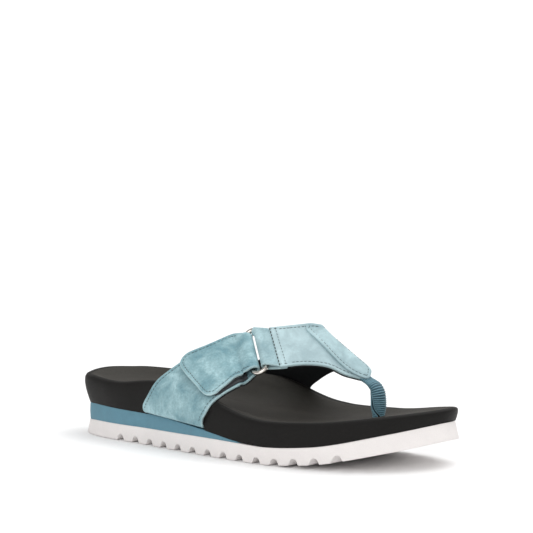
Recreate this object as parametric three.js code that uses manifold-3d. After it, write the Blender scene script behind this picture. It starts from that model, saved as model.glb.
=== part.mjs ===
// A right-foot thong sandal, in millimetres: +X from heel to toe, +Y to the inner side of the foot, +Z up.
// Shapes are drawn from the back of the heel (x = 0) and from the floor (z = 0), and the whole sandal is then
// centred, so that the origin is under the middle of its bounding box.
//
// From the floor up: a notched outsole, a wedge midsole, a foam footbed core inside a microfibre cover, and a
// Y-shaped upper. The upper is a vamp and a lateral strap, joined by an oval wire ring. A keeper loop sewn to
// the vamp holds one bar of the ring. The strap passes under the other bar, folds back over it and ends in a
// tab, which hook and loop tapes hold down on the strap. A ribbed webbing post runs from under the overlay on
// the vamp, between the toes, to an anchor under the footbed.
import * as THREE from "three";
import { mergeVertices } from "three/addons/utils/BufferGeometryUtils.js";
import Module from "manifold-3d";

const wasm = await Module();
wasm.setup();

// ---------------------------------------------------------------- driving dimensions

const GAP = 0.3; // glue line between stacked pieces
const SUEDE = 1.6;
const LINING = 0.8;
const TAPE = 0.9; // hook tape and loop tape, each
const COVER = 1.2; // microfibre over the footbed foam

const WIRE = 1.4; // radius of the ring's wire
const BAR_SPACING = 8.8; // between the centres of the ring's two long bars
const BAR_LENGTH = 27.4; // the straight part of each bar
const FOLD_CLEARANCE = 0.7; // between the wire and the strap folded round it, which lets the ring rock
const KEEPER_CLEARANCE = 0.35; // between the wire and its keeper, which it turns in

const NOTCH_COUNT = 14;
const NOTCH_FIRST = 46.8;
const NOTCH_PITCH = 13.1;

const WEDGE_END = 152; // where the wedge midsole feathers out

const POST_RADIUS = 4.4; // across the toe post's webbing at half its height
const POST_WALL = 1;

// ---------------------------------------------------------------- sole outline and levels

const point = (x, y, z = 0) => new THREE.Vector3(x, y, z);

// Closed outline of the sole in plan: heel tip, lateral side, toe tip, medial side.
const OUTLINE = [
  [0, 0], [6.5, -17], [30, -28], [70, -33], [109, -40],
  [144, -45], [175, -47], [205, -44], [230, -34], [249, -17],
  [260, 8], [252.5, 27], [230, 38], [200, 43], [170, 42.5],
  [139, 35.5], [104.5, 28.5], [70, 30], [30, 30.5], [7, 17.5],
].map(([x, y]) => point(x, y));
const outline = new THREE.CatmullRomCurve3(OUTLINE, true);
const AROUND = 48; // samples round the outline, starting at the heel tip

// A smooth value along the length, through [x, value] stations, that never overshoots them.
function profile(stations) {
  const last = stations.length - 1;
  const slope = (i) => (stations[i + 1][1] - stations[i][1]) / (stations[i + 1][0] - stations[i][0]);
  const tangents = stations.map((_, i) => {
    if (i === 0) return slope(0);
    if (i === last) return slope(last - 1);
    const before = slope(i - 1);
    const after = slope(i);
    return before * after <= 0 ? 0 : (2 * before * after) / (before + after);
  });
  return (x) => {
    const at = THREE.MathUtils.clamp(x, stations[0][0], stations[last][0]);
    let i = 0;
    while (i < last - 1 && at > stations[i + 1][0]) i += 1;
    const [x0, v0] = stations[i];
    const [x1, v1] = stations[i + 1];
    const w = x1 - x0;
    const k = (at - x0) / w;
    const bend = (1 - k) * tangents[i] * w - k * tangents[i + 1] * w;
    return v0 + (v1 - v0) * k * k * (3 - 2 * k) + k * (1 - k) * bend;
  };
}

const soleLift = profile([[0, 1.2], [14, 0], [165, 0], [200, 2.4], [240, 10.6], [262, 16.4]]);
const outsoleThickness = profile([[0, 7], [20, 9], [80, 10], [130, 10.5], [170, 10], [262, 10.6]]);
const wedgeThickness = profile([[0, 10.6], [40, 9.4], [80, 8.2], [120, 4.4], [WEDGE_END, 0.7], [168, 0]]);
const lateralRim = profile([
  [0, 17.8], [40, 16.2], [80, 20.9], [120, 19], [160, 14.9], [200, 13.5], [240, 10.2], [262, 7.3],
]);
const medialRim = profile([
  [0, 17.8], [40, 18.8], [80, 21.4], [120, 24], [160, 15.6], [200, 12.6], [240, 9.8], [262, 7.3],
]);
const bedThickness = profile([[0, 14], [40, 12], [80, 11], [160, 10.4], [200, 10.3], [240, 8.6], [262, 6.3]]);
// The sole is drawn in under the footbed's rim at the heel and at the toe, and the wall swells out again.
const drawnIn = profile([[0, 3.2], [25, 3], [60, 0.8], [95, 0], [215, 0], [245, 1.4], [262, 2.4]]);
const swell = profile([[0, 3.3], [40, 2.6], [90, 1], [150, 0.8], [262, 1.4]]);

const outsoleTop = (x) => soleLift(x) + outsoleThickness(x);
const wedgeTop = (x) => outsoleTop(x) + wedgeThickness(x);
const bedBase = (x) => wedgeTop(x) + GAP;

// The line down the middle that the inner rings of each layer close in on.
const SPINE_START = 36;
const SPINE_END = 222;
const spineY = profile([[36, 1], [105, -6], [170, -2], [222, 4]]);

// One ring of points round the sole: the outline grown outwards by grow, shrunk towards the spine to a share
// of its reach, with its height from height(x, y).
function ring(share, grow, height) {
  return Array.from({ length: AROUND }, (_, i) => {
    const edge = outline.getPoint(i / AROUND);
    const tangent = outline.getTangent(i / AROUND);
    const out = typeof grow === "function" ? grow(edge.x) : grow;
    const x = edge.x + tangent.y * -out * TURN;
    const y = edge.y + tangent.x * out * TURN;
    const spineX = THREE.MathUtils.clamp(edge.x, SPINE_START, SPINE_END);
    const px = spineX + (x - spineX) * share;
    const py = spineY(spineX) + (y - spineY(spineX)) * share;
    return point(px, py, height(px, py, edge));
  });
}
const TURN = -1; // the outline runs heel, lateral, toe, medial, so its left hand points inwards

// ---------------------------------------------------------------- solids from rings and grids

function geometryOf(points, triangles) {
  const positions = new Float32Array(points.flatMap((p) => [p.x, p.y, p.z]));
  let volume = 0;
  for (const [a, b, c] of triangles) {
    volume += points[a].dot(new THREE.Vector3().crossVectors(points[b], points[c]));
  }
  const facing = volume < 0 ? triangles.map(([a, b, c]) => [a, c, b]) : triangles;
  return new THREE.BufferGeometry()
    .setAttribute("position", new THREE.BufferAttribute(positions, 3))
    .setIndex(facing.flat());
}

// A closed solid through rings of equal length, its two end rings closed across from side to side.
function loft(rings) {
  const points = rings.flat();
  const triangles = [];
  rings.slice(1).forEach((_, row) => {
    for (let i = 0; i < AROUND; i += 1) {
      const j = (i + 1) % AROUND;
      const near = row * AROUND;
      const far = near + AROUND;
      triangles.push([near + i, near + j, far + j], [near + i, far + j, far + i]);
    }
  });
  const cap = (start, flip) => {
    for (let i = 0; i < AROUND / 2; i += 1) {
      const near = [start + i, start + i + 1];
      const far = [start + ((AROUND - i) % AROUND), start + ((AROUND - i - 1) % AROUND)];
      const quad = [near[0], near[1], far[1], far[0]];
      const halves = [[quad[0], quad[1], quad[2]], [quad[0], quad[2], quad[3]]];
      halves
        .filter(([a, b, c]) => a !== b && b !== c && a !== c)
        .forEach(([a, b, c]) => triangles.push(flip ? [a, c, b] : [a, b, c]));
    }
  };
  cap(0, true);
  cap((rings.length - 1) * AROUND, false);
  return geometryOf(points, triangles);
}

// A closed solid between two grids of points of the same size.
function between(outer, inner) {
  const rows = outer.length;
  const columns = outer[0].length;
  const points = [...outer.flat(), ...inner.flat()];
  const at = (side, r, c) => side * rows * columns + r * columns + c;
  const triangles = [];
  const quad = (a, b, c, d) => triangles.push([a, b, c], [a, c, d]);
  for (let r = 0; r + 1 < rows; r += 1) {
    for (let c = 0; c + 1 < columns; c += 1) {
      quad(at(0, r, c), at(0, r, c + 1), at(0, r + 1, c + 1), at(0, r + 1, c));
      quad(at(1, r, c), at(1, r + 1, c), at(1, r + 1, c + 1), at(1, r, c + 1));
    }
    quad(at(0, r, 0), at(0, r + 1, 0), at(1, r + 1, 0), at(1, r, 0));
    quad(at(0, r + 1, columns - 1), at(0, r, columns - 1), at(1, r, columns - 1), at(1, r + 1, columns - 1));
  }
  for (let c = 0; c + 1 < columns; c += 1) {
    quad(at(0, 0, c + 1), at(0, 0, c), at(1, 0, c), at(1, 0, c + 1));
    quad(at(0, rows - 1, c), at(0, rows - 1, c + 1), at(1, rows - 1, c + 1), at(1, rows - 1, c));
  }
  return geometryOf(points, triangles);
}

function span(from, to, steps) {
  return Array.from({ length: steps + 1 }, (_, i) => from + ((to - from) * i) / steps);
}

// A strap surface: straight rulings from a rear edge to a front edge, both smooth curves through points
// numbered 0, 1, 2 and so on along the strap. It gives the point at (t, u), lifted off the surface.
function strapSurface(edges) {
  const rear = new THREE.CatmullRomCurve3(edges.map(([p]) => point(...p)));
  const front = new THREE.CatmullRomCurve3(edges.map(([, p]) => point(...p)));
  const last = edges.length - 1;
  const flat = (t, u) => rear.getPoint(t / last).lerp(front.getPoint(t / last), u);
  const STEP = 0.02;
  const normal = (t, u) => {
    const from = Math.max(t - STEP, 0);
    const to = Math.min(t + STEP, last);
    const along = flat(to, u).sub(flat(from, u));
    const across = flat(t, 1).sub(flat(t, 0));
    return across.cross(along).normalize();
  };
  return (t, u, lift = 0) => flat(t, u).addScaledVector(normal(t, u), lift);
}

const grid = (surface, ts, us, lift) => ts.map((t) => us(t).map((u) => surface(t, u, lift)));

function layer(surface, ts, us, low, high) {
  return between(grid(surface, ts, us, high), grid(surface, ts, us, low));
}

// ---------------------------------------------------------------- joins and cuts

function solidOf(geometry) {
  const bare = geometry.clone();
  bare.deleteAttribute("normal");
  bare.deleteAttribute("uv");
  const merged = mergeVertices(bare, 1e-4);
  return new wasm.Manifold(new wasm.Mesh({
    numProp: 3,
    vertProperties: merged.attributes.position.array,
    triVerts: new Uint32Array(merged.index.array),
  }));
}

function geometryFrom(solid) {
  const { vertProperties, triVerts } = solid.getMesh();
  return new THREE.BufferGeometry()
    .setAttribute("position", new THREE.BufferAttribute(new Float32Array(vertProperties), 3))
    .setIndex(new THREE.BufferAttribute(new Uint32Array(triVerts), 1));
}

// The geometry less its cutters. Any sliver that a cut leaves on its own is dropped.
function cut(geometry, ...cutters) {
  const rest = cutters.reduce((left, cutter) => left.subtract(solidOf(cutter)), solidOf(geometry));
  const [largest] = rest.decompose().sort((a, b) => b.volume() - a.volume());
  return geometryFrom(largest);
}

// ---------------------------------------------------------------- outsole

function outsole() {
  const EDGE = 0.5; // small bevel round the tread
  const footOut = profile([[0, -1.6], [30, -1.4], [90, 0.2], [230, 0.2], [262, 0]]);
  const body = loft([
    ring(0.3, 0, soleLift),
    ring(1, (x) => footOut(x) - EDGE, soleLift),
    ring(1, footOut, (x) => soleLift(x) + EDGE),
    ring(1, (x) => -drawnIn(x), outsoleTop),
    ring(0.3, 0, outsoleTop),
  ]);
  return cut(body, ...notches());
}

// Rounded channels across the tread, one pitch apart, that show as a saw-tooth edge along both sides.
function notches() {
  const MOUTH = 3.7;
  const DEPTH = 3.7;
  const REACH = 60;
  const section = new THREE.Shape();
  section.moveTo(-MOUTH - 1, -1);
  section.lineTo(-MOUTH, 0);
  section.quadraticCurveTo(-2.8, 0.4, -2.5, 1.7);
  section.quadraticCurveTo(-1.9, DEPTH, 0, DEPTH);
  section.quadraticCurveTo(1.9, DEPTH, 2.5, 1.7);
  section.quadraticCurveTo(2.8, 0.4, MOUTH, 0);
  section.lineTo(MOUTH + 1, -1);
  return Array.from({ length: NOTCH_COUNT }, (_, i) => {
    const x = NOTCH_FIRST + i * NOTCH_PITCH;
    return new THREE.ExtrudeGeometry(section, { depth: 2 * REACH, bevelEnabled: false, curveSegments: 3 })
      .rotateX(Math.PI / 2)
      .translate(x, REACH, soleLift(x));
  });
}

// ---------------------------------------------------------------- midsole

function midsole() {
  const body = loft([
    ring(0.3, 0, (x) => outsoleTop(x) + GAP),
    ring(1, (x) => -drawnIn(x), (x) => outsoleTop(x) + GAP),
    ring(1, (x) => -drawnIn(x), (x) => Math.max(wedgeTop(x), outsoleTop(x) + GAP + 0.2)),
    ring(0.3, 0, (x) => Math.max(wedgeTop(x), outsoleTop(x) + GAP + 0.2)),
  ]);
  const REACH = 120;
  const front = new THREE.BoxGeometry(REACH, REACH, REACH).translate(WEDGE_END + REACH / 2, 0, 0);
  return cut(body, front);
}

// ---------------------------------------------------------------- footbed

// Rim height over the footbed's base, blended from side to side across the heel and toe tips.
function rimHeight(x, y) {
  const side = THREE.MathUtils.smoothstep(y, -12, 12);
  return lateralRim(x) * (1 - side) + medialRim(x) * side;
}

const bell = (value, width) => Math.exp(-((value / width) ** 2));

// The contoured top: a dished bed, an arch rise on the inner side and a low dome behind the ball.
function bedHeight(x, y, share, rimShare) {
  const bed = bedThickness(x);
  const arch = y > 0 ? 3.5 * bell(x - 106, 32) * bell(share - 0.6, 0.28) : 0;
  const dome = 1.8 * bell(x - 150, 16) * bell(y + 3, 14) * (share < 0.7 ? 1 : 0);
  return bedBase(x) + bed + (rimHeight(x, y) - bed) * rimShare + arch + dome;
}

// [share of the rim height, share of the wall's bulge, millimetres in], from the base up.
const WALL = [
  [0, 0, 0], [0.22, 0.42, 0], [0.5, 0.86, 0], [0.66, 1, 0],
  [0.79, 0.95, 0.25], [0.9, 0.8, 0.9], [0.97, 0.6, 2],
];
// [share of the reach from the spine, share of the rise to the rim, share drawn in], from the rim inwards.
const TOP = [
  [0.95, 1, 1], [0.89, 0.985, 0.5], [0.83, 0.9, 0], [0.73, 0.64, 0],
  [0.6, 0.3, 0], [0.42, 0.06, 0], [0.22, 0, 0],
];

// Rings of the footbed from its base over the rim to its middle, set in from its surface by a depth.
function bedRings(depth) {
  const wall = WALL.map(([rise, bulge, inwards]) => {
    const grow = (x) => swell(x) * bulge - drawnIn(x) - inwards - depth;
    const height = (x, y, edge) => bedBase(edge.x) + Math.max(rimHeight(edge.x, edge.y) - depth, 0) * rise;
    return ring(1, grow, height);
  });
  const top = TOP.map(([share, rise, drawn]) => {
    const grow = (x) => -drawnIn(x) * drawn - depth;
    return ring(share, grow, (x, y) => bedHeight(x, y, share, rise) - depth);
  });
  return [...wall, ...top];
}

const TUCK_LIFT = 0.5; // a strap's turned-in end rides this much over the glue line

// A slab under the footbed, open to the side, that a strap's turned-in end lies in.
function tuckPocket(xFrom, xTo, yInner, yOuter) {
  const HEIGHT = GAP + TUCK_LIFT + SUEDE + GAP + LINING + 2 * GAP;
  const sheet = (lift) => span(xFrom, xTo, 6).map((x) =>
    span(yInner, yOuter, 1).map((y) => point(x, y, wedgeTop(x) + lift)));
  return between(sheet(HEIGHT), sheet(-1));
}

const strapRooms = () => [
  tuckPocket(66, 123.5, -19, -70),
  tuckPocket(78, 136.5, 19, 70),
  seat(lateralStrap, 1.2, 6),
  seat(vampSurface, 9, 13.8),
];

const POST_BASE = point(206, 14, 17.7); // where the toe post meets its anchor
const ANCHOR = { radius: 8, thickness: 2 };

function postHole() {
  const top = new THREE.CylinderGeometry(POST_RADIUS + 0.5, POST_RADIUS + 0.5, 30, 20)
    .rotateX(Math.PI / 2)
    .translate(POST_BASE.x, POST_BASE.y, POST_BASE.z + 14);
  const recess = new THREE.CylinderGeometry(ANCHOR.radius + 0.6, ANCHOR.radius + 0.6, 12, 20)
    .rotateX(Math.PI / 2)
    .translate(POST_BASE.x, POST_BASE.y, POST_BASE.z + GAP - 6);
  return [top, recess];
}

function footbedCover() {
  const outer = bedRings(0);
  const inner = bedRings(COVER);
  return cut(loft([...outer.reverse(), ...inner]), ...strapRooms(), ...postHole());
}

function footbedCore() {
  const skin = bedRings(COVER + 3 * GAP);
  const base = ring(0.3, -COVER - 3 * GAP, bedBase);
  return cut(loft([base, ...skin]), ...strapRooms(), ...postHole());
}

function postAnchor() {
  return new THREE.CylinderGeometry(ANCHOR.radius, ANCHOR.radius, ANCHOR.thickness, 24)
    .rotateX(Math.PI / 2)
    .translate(POST_BASE.x, POST_BASE.y, POST_BASE.z - GAP - ANCHOR.thickness / 2);
}

// ---------------------------------------------------------------- ring

const RING_CENTRE = point(138.2, -13.9, 59);
const STRAP_REAR = -14.5; // the strap's edges where it passes through the ring, from the ring's middle
const STRAP_FRONT = 14.2;
const barWay = point(0.628, -0.53, -0.57).normalize(); // along the bars, from the rear to the front
const pullWay = point(0.777, 0.479, 0.411); // across the bars, from the strap towards the vamp
pullWay.addScaledVector(barWay, -pullWay.dot(barWay)).normalize();
const outWay = new THREE.Vector3().crossVectors(barWay, pullWay); // off the foot

const atRing = (bar, pull, out) => RING_CENTRE.clone()
  .addScaledVector(barWay, bar)
  .addScaledVector(pullWay, pull)
  .addScaledVector(outWay, out);

// The wire follows a racetrack: two straight bars and two half-round ends.
class Racetrack extends THREE.Curve {
  getPoint(t) {
    const r = BAR_SPACING / 2;
    const bend = Math.PI * r;
    const lap = 2 * (BAR_LENGTH + bend);
    let s = (t % 1) * lap;
    const half = s >= lap / 2 ? -1 : 1;
    if (half < 0) s -= lap / 2;
    const along = s < BAR_LENGTH ? s - BAR_LENGTH / 2 : BAR_LENGTH / 2 + r * Math.sin((s - BAR_LENGTH) / r);
    const side = s < BAR_LENGTH ? -r : -r * Math.cos((s - BAR_LENGTH) / r);
    return atRing(half * along, half * side, 0);
  }
}

function wireRing() {
  const track = new Racetrack();
  const STEPS = 36;
  const SIDES = 8;
  const points = [];
  for (let i = 0; i < STEPS; i += 1) {
    const centre = track.getPoint(i / STEPS);
    const across = new THREE.Vector3().crossVectors(track.getTangent(i / STEPS), outWay).normalize();
    for (let k = 0; k < SIDES; k += 1) {
      const a = (2 * Math.PI * k) / SIDES;
      points.push(centre.clone()
        .addScaledVector(across, WIRE * Math.cos(a))
        .addScaledVector(outWay, WIRE * Math.sin(a)));
    }
  }
  const triangles = [];
  for (let i = 0; i < STEPS; i += 1) {
    for (let k = 0; k < SIDES; k += 1) {
      const next = (i + 1) % STEPS;
      const turn = (k + 1) % SIDES;
      const [a, b, c, d] = [i * SIDES + k, next * SIDES + k, next * SIDES + turn, i * SIDES + turn];
      triangles.push([a, b, c], [a, c, d]);
    }
  }
  return geometryOf(points, triangles);
}

// ---------------------------------------------------------------- lateral strap and closure tab

const tuck = (x, y, lift) => [x, y, wedgeTop(x) + GAP + TUCK_LIFT + lift];
const underBar = (bar, back) => atRing(bar, -BAR_SPACING / 2 - back, -WIRE - FOLD_CLEARANCE).toArray();

// Rear and front edges of the lateral strap's outer face, from its turned-in end up to its free end.
const lateralStrap = strapSurface([
  [tuck(76, -21, 0), tuck(118, -27, 0)],
  [tuck(72, -31.5, 0), tuck(121, -38.5, 0)],
  [tuck(70.6, -35.6, 1), tuck(121.8, -43, 1)],
  [tuck(70.6, -36.9, 4.4), tuck(122.4, -44.5, 4.4)],
  [[75.8, -38.2, 31], [125.3, -45.8, 24]],
  [[81.5, -37, 39.6], [129.3, -44.2, 31]],
  [[87.5, -32.5, 46], [134.3, -39.5, 36.8]],
  [[96, -26.5, 52], [139, -34.5, 40.6]],
  [[107, -19.5, 57], [141, -32.5, 41.6]],
  [underBar(-18.3, 7), underBar(17, 7)],
  [underBar(STRAP_REAR, 0), underBar(STRAP_FRONT, 0)],
]);
const STRAP_END = 10 - 0.04;
const full = (columns) => () => span(0, 1, columns);
const strapRows = [0, 0.7, 1, 1.4, 1.8, 2.2, 2.6, 3, 3.5, ...span(4, STRAP_END, 11)];

const LAYER_1 = GAP; // loop tape on the strap
const LAYER_2 = LAYER_1 + TAPE + GAP; // hook tape under the tab
const LAYER_3 = LAYER_2 + TAPE + GAP; // the tab itself
const OVER_BAR = 2 * (WIRE + FOLD_CLEARANCE); // the tab's height over the strap where both meet the bar

// The tab's free end slants across the strap and has two rounded corners.
const tabEnd = (u) => 6.6 - 1.5 * u;
const TAB_CORNER = 0.18; // share of the width that a corner takes up
const TAB_CORNER_ROWS = 0.75; // strap rows that a corner takes up

function closureTab() {
  const us = [0, 0.04, 0.1, TAB_CORNER, 0.4, 0.6, 1 - TAB_CORNER, 0.9, 0.96, 1];
  const ks = [0, 0.05, 0.14, 0.28, 0.44, 0.6, 0.76, 0.88, 1];
  const from = (u) => {
    const near = Math.max(0, 1 - Math.min(u, 1 - u) / TAB_CORNER);
    return tabEnd(u) + TAB_CORNER_ROWS * (1 - Math.sqrt(1 - near ** 2));
  };
  const lift = (t) => THREE.MathUtils.lerp(LAYER_3, OVER_BAR, THREE.MathUtils.smoothstep(t, 8.4, STRAP_END));
  const rows = (more) => ks.map((k) => us.map((u) => {
    const t = THREE.MathUtils.lerp(from(u), STRAP_END, k);
    return lateralStrap(t, u, lift(t) + more);
  }));
  return between(rows(SUEDE), rows(0));
}

// A row of points across suede bent round a bar, at an angle round it. Its edges follow the ring's ends.
function wrapRow(bar, degrees, radius, narrower = 0) {
  const angle = THREE.MathUtils.degToRad(degrees);
  return span(STRAP_REAR + narrower, STRAP_FRONT - narrower, 8).map((side) => {
    const past = Math.max(Math.abs(side) - BAR_LENGTH / 2, 0);
    const pull = Math.sign(bar) * Math.sqrt(bar ** 2 - past ** 2);
    return atRing(side, pull + radius * Math.cos(angle), radius * Math.sin(angle));
  });
}

function strapFold() {
  const inner = WIRE + FOLD_CLEARANCE;
  const rows = (radius) => span(-90, 90, 8).map((angle) => wrapRow(-BAR_SPACING / 2, angle, radius));
  return between(rows(inner + SUEDE), rows(inner));
}

// A strip of tape under the tab, at a level over the strap. It starts inside the tab's end.
function tape(level, inside, to) {
  const rows = (lift) => span(0, 1, 5).map((k) => span(0.05, 0.95, 6).map((u) =>
    lateralStrap(THREE.MathUtils.lerp(tabEnd(u) + inside, to, k), u, lift)));
  return between(rows(level + TAPE), rows(level));
}

// The room the footbed leaves for a strap's end: the pocket below it and a shallow seat up its wall.
const SEAT = SUEDE + 2 * GAP + LINING;

function seat(surface, from, to) {
  const us = () => [-0.02, ...span(0, 1, 5), 1.02];
  return layer(surface, span(from, to, 8), us, -SEAT, 9);
}

// ---------------------------------------------------------------- vamp, keeper and overlay

// Rear and front edges of the vamp's outer face, from the keeper seam over the instep to its turned-in end.
const vampSurface = strapSurface([
  [[140, -3.7, 72.5], [161, -20.2, 52.8]],
  [[152.5, 1.4, 74.3], [173.2, -10.6, 54.1]],
  [[159, 4.5, 75.2], [182.9, -2, 52.4]],
  [[163, 7.2, 75.6], [191.2, 4.8, 47.8]],
  [[165.5, 10, 74.6], [199.4, 11.5, 45.9]],
  [[164.6, 12.8, 72.6], [198.5, 16, 48.3]],
  [[163, 18, 67.8], [190, 22.5, 50.5]],
  [[155, 24.5, 60.5], [177, 27, 49.8]],
  [[130, 29, 54.5], [163, 32, 45.5]],
  [[103, 31.5, 46.8], [150.5, 36.6, 38.8]],
  [[93, 35, 38], [141, 39.6, 32]],
  [[88, 36, 28.5], [137, 40.6, 24.5]],
  [tuck(87, 34.6, 4.4), tuck(134, 39.6, 4.4)],
  [tuck(86.5, 33.4, 1), tuck(133.5, 38.2, 1)],
  [tuck(86.5, 29.2, 0), tuck(132, 34, 0)],
  [tuck(88, 21, 0), tuck(129, 23.5, 0)],
]);
const VAMP_END = 15;
const vampRows = [
  0.03, 0.5, 1, 1.5, 2, 2.5, 3, 3.4, 3.8, 4.2, 4.6, 5, 5.5, 6, 6.5, 7, 7.5, 8, 9, 10, 11, 11.6, 12, 12.5, 13,
  13.4, 13.8, 14.3, VAMP_END,
];
const KEEPER_REACH = 0.55; // how far under the vamp the keeper's ends run, in vamp rows
const vampLiningRows = [KEEPER_REACH + 0.08, ...vampRows.slice(2)];

function keeper() {
  const wrap = WIRE + KEEPER_CLEARANCE;
  const along = (t, lift) => span(0.02, 0.98, 8).map((u) => vampSurface(t, u, lift));
  const rows = (layer) => [
    along(KEEPER_REACH, -SUEDE - GAP - SUEDE * layer),
    along(0.05, -SUEDE - GAP - SUEDE * layer),
    ...span(-90, -270, 8).map((angle) => wrapRow(BAR_SPACING / 2, angle, wrap + SUEDE * layer, 0.7)),
    along(0, -SUEDE * (1 - layer)),
  ];
  return between(rows(1), rows(0));
}

// The overlay runs the length of the vamp's crest, from near its rear edge to past its front edge.
const OVERLAY = { from: 0.03, to: 1.01, low: GAP, high: GAP + 1.5, end: 0.15 };
const overlayLeft = profile([[0, 1.75], [0.2, 1.95], [0.45, 2.4], [0.7, 2.75], [1, 3.4]]);
const overlayRight = profile([[0, 5.4], [0.5, 5.4], [1, 5.6]]);

function overlay() {
  const us = [0, 0.02, 0.06, 0.15, 0.3, 0.45, 0.6, 0.72, 0.85, 0.94, 0.98, 1];
  const rows = (lift) => us.map((k) => {
    const near = Math.max(0, 1 - Math.min(k, 1 - k) / OVERLAY.end);
    const share = 0.4 + 0.6 * Math.sqrt(1 - near ** 2);
    const middle = (overlayLeft(k) + overlayRight(k)) / 2;
    const half = ((overlayRight(k) - overlayLeft(k)) / 2) * share;
    const u = THREE.MathUtils.lerp(OVERLAY.from, OVERLAY.to, k);
    return span(middle - half, middle + half, 6).map((t) => vampSurface(t, u, lift));
  });
  return between(rows(OVERLAY.high), rows(OVERLAY.low));
}

// ---------------------------------------------------------------- toe post

// The post's centreline, from under the overlay's tip, forwards and down between the toes, to its anchor.
const POST_PATH = new THREE.CatmullRomCurve3([
  point(194.2, 13.4, 47.2),
  point(197.6, 13.6, 44.8),
  point(201.2, 13.8, 42.9),
  point(204.5, 13.6, 40.4),
  point(206, 13.5, 36.6),
  point(206.2, 13.6, 32),
  point(206.1, 13.8, 26),
  POST_BASE,
]);

// The webbing's half width and half thickness by height: flat under the overlay, then round, then narrower.
const postSide = profile([[17, 3], [24, 3.3], [31, POST_RADIUS], [50, POST_RADIUS]]);
const postFore = profile([[17, 3], [24, 3.3], [31, 4.2], [37, 4], [41, 2.8], [44, 1.6], [50, 1.5]]);

// Where the slit between the webbing's two edges faces, in degrees from straight ahead, by height: to the
// outer side at the footbed and to the back higher up. Its half width is in degrees too.
const slitWay = profile([[18, 40], [24.5, 55], [30.4, 98], [35.1, 121], [39, 143], [48, 150]]);
const slitHalf = profile([[24.5, 19], [30.4, 11], [35, 8], [48, 8]]);

// The notch in the vamp's tip that the post's upper end lies in.
function postNotch() {
  const way = new THREE.CatmullRomCurve3([
    point(188, 12.8, 53.9),
    point(195, 13.3, 48.5),
    point(205, 13.8, 40.7),
  ]);
  const section = new THREE.Shape().absarc(0, 0, POST_RADIUS + 0.6, 0, 2 * Math.PI);
  return new THREE.ExtrudeGeometry(section, { extrudePath: way, steps: 3, curveSegments: 6 });
}

// Points round the post at one place on its path, at a depth under its surface, between two angles.
function postRow(t, depth, from, to, steps) {
  const centre = POST_PATH.getPoint(t);
  const along = POST_PATH.getTangent(t);
  const side = point(0, 1, 0).addScaledVector(along, -along.y).normalize();
  const fore = new THREE.Vector3().crossVectors(along, side);
  return span(from, to, steps).map(THREE.MathUtils.degToRad).map((a) => centre.clone()
    .addScaledVector(fore, (postFore(centre.z) - depth) * Math.cos(a))
    .addScaledVector(side, (postSide(centre.z) - depth) * -Math.sin(a)));
}

function postWebbing() {
  const rows = (depth) => span(0, 1, 14).map((t) => {
    const { z } = POST_PATH.getPoint(t);
    return postRow(t, depth, slitWay(z) + slitHalf(z), slitWay(z) + 360 - slitHalf(z), 14);
  });
  return between(rows(0), rows(POST_WALL));
}

// The rubber core starts where the webbing is round enough to hold it.
function postCore() {
  const turn = 360 / AROUND;
  return loft(span(0.36, 1, 7).map((t) => postRow(t, POST_WALL + GAP, 0, 360 - turn, AROUND - 1)));
}

// ---------------------------------------------------------------- assembly

const finish = {
  outsole: { color: 0xe9e4e2, roughness: 0.8 },
  midsole: { color: 0x55808f, roughness: 0.75 },
  cover: { color: 0x3b3a38, roughness: 0.85 },
  foam: { color: 0x2b2b2b, roughness: 0.95 },
  suede: { color: 0x8fb9c2, roughness: 0.95 },
  lining: { color: 0x151515, roughness: 0.9 },
  tape: { color: 0x2a2c2e, roughness: 1 },
  webbing: { color: 0x5f8b99, roughness: 0.85 },
  core: { color: 0x121212, roughness: 0.6 },
  steel: { color: 0xc9c6c2, roughness: 0.25, metalness: 1 },
};

const sandal = new THREE.Group();

function piece(name, geometry, material) {
  const mesh = new THREE.Mesh(geometry, new THREE.MeshStandardMaterial(finish[material]));
  mesh.name = name;
  sandal.add(mesh);
}

piece("outsole", outsole(), "outsole");
piece("midsole_wedge", midsole(), "midsole");
piece("footbed_core", footbedCore(), "foam");
piece("footbed_cover", footbedCover(), "cover");
piece("lateral_strap", layer(lateralStrap, strapRows, full(5), -SUEDE, 0), "suede");
piece("lateral_strap_lining",
  layer(lateralStrap, strapRows, full(5), -SUEDE - GAP - LINING, -SUEDE - GAP), "lining");
piece("loop_tape", tape(LAYER_1, 0.22, 9.3), "tape");
piece("hook_tape", tape(LAYER_2, 0.4, 8.3), "tape");
piece("closure_tab", closureTab(), "suede");
piece("strap_fold", strapFold(), "suede");
piece("ring", wireRing(), "steel");
piece("ring_keeper", keeper(), "suede");
piece("vamp", cut(layer(vampSurface, vampRows, full(5), -SUEDE, 0), postNotch()), "suede");
const vampLining = layer(vampSurface, vampLiningRows, full(5), -SUEDE - GAP - LINING, -SUEDE - GAP);
piece("vamp_lining", cut(vampLining, postNotch()), "lining");
piece("overlay", overlay(), "suede");
piece("toe_post_webbing", postWebbing(), "webbing");
piece("toe_post_core", postCore(), "core");
piece("toe_post_anchor", postAnchor(), "core");

// Centre the sandal over the origin, resting on the floor.
const bounds = new THREE.Box3().setFromObject(sandal);
sandal.position.set(-(bounds.min.x + bounds.max.x) / 2, -(bounds.min.y + bounds.max.y) / 2, -bounds.min.z);

export default sandal;
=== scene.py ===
from math import pi, radians

import bpy
import numpy as np
from bpy.props import FloatProperty, FloatVectorProperty, IntProperty, PointerProperty
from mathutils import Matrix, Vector
from mathutils.bvhtree import BVHTree


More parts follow.
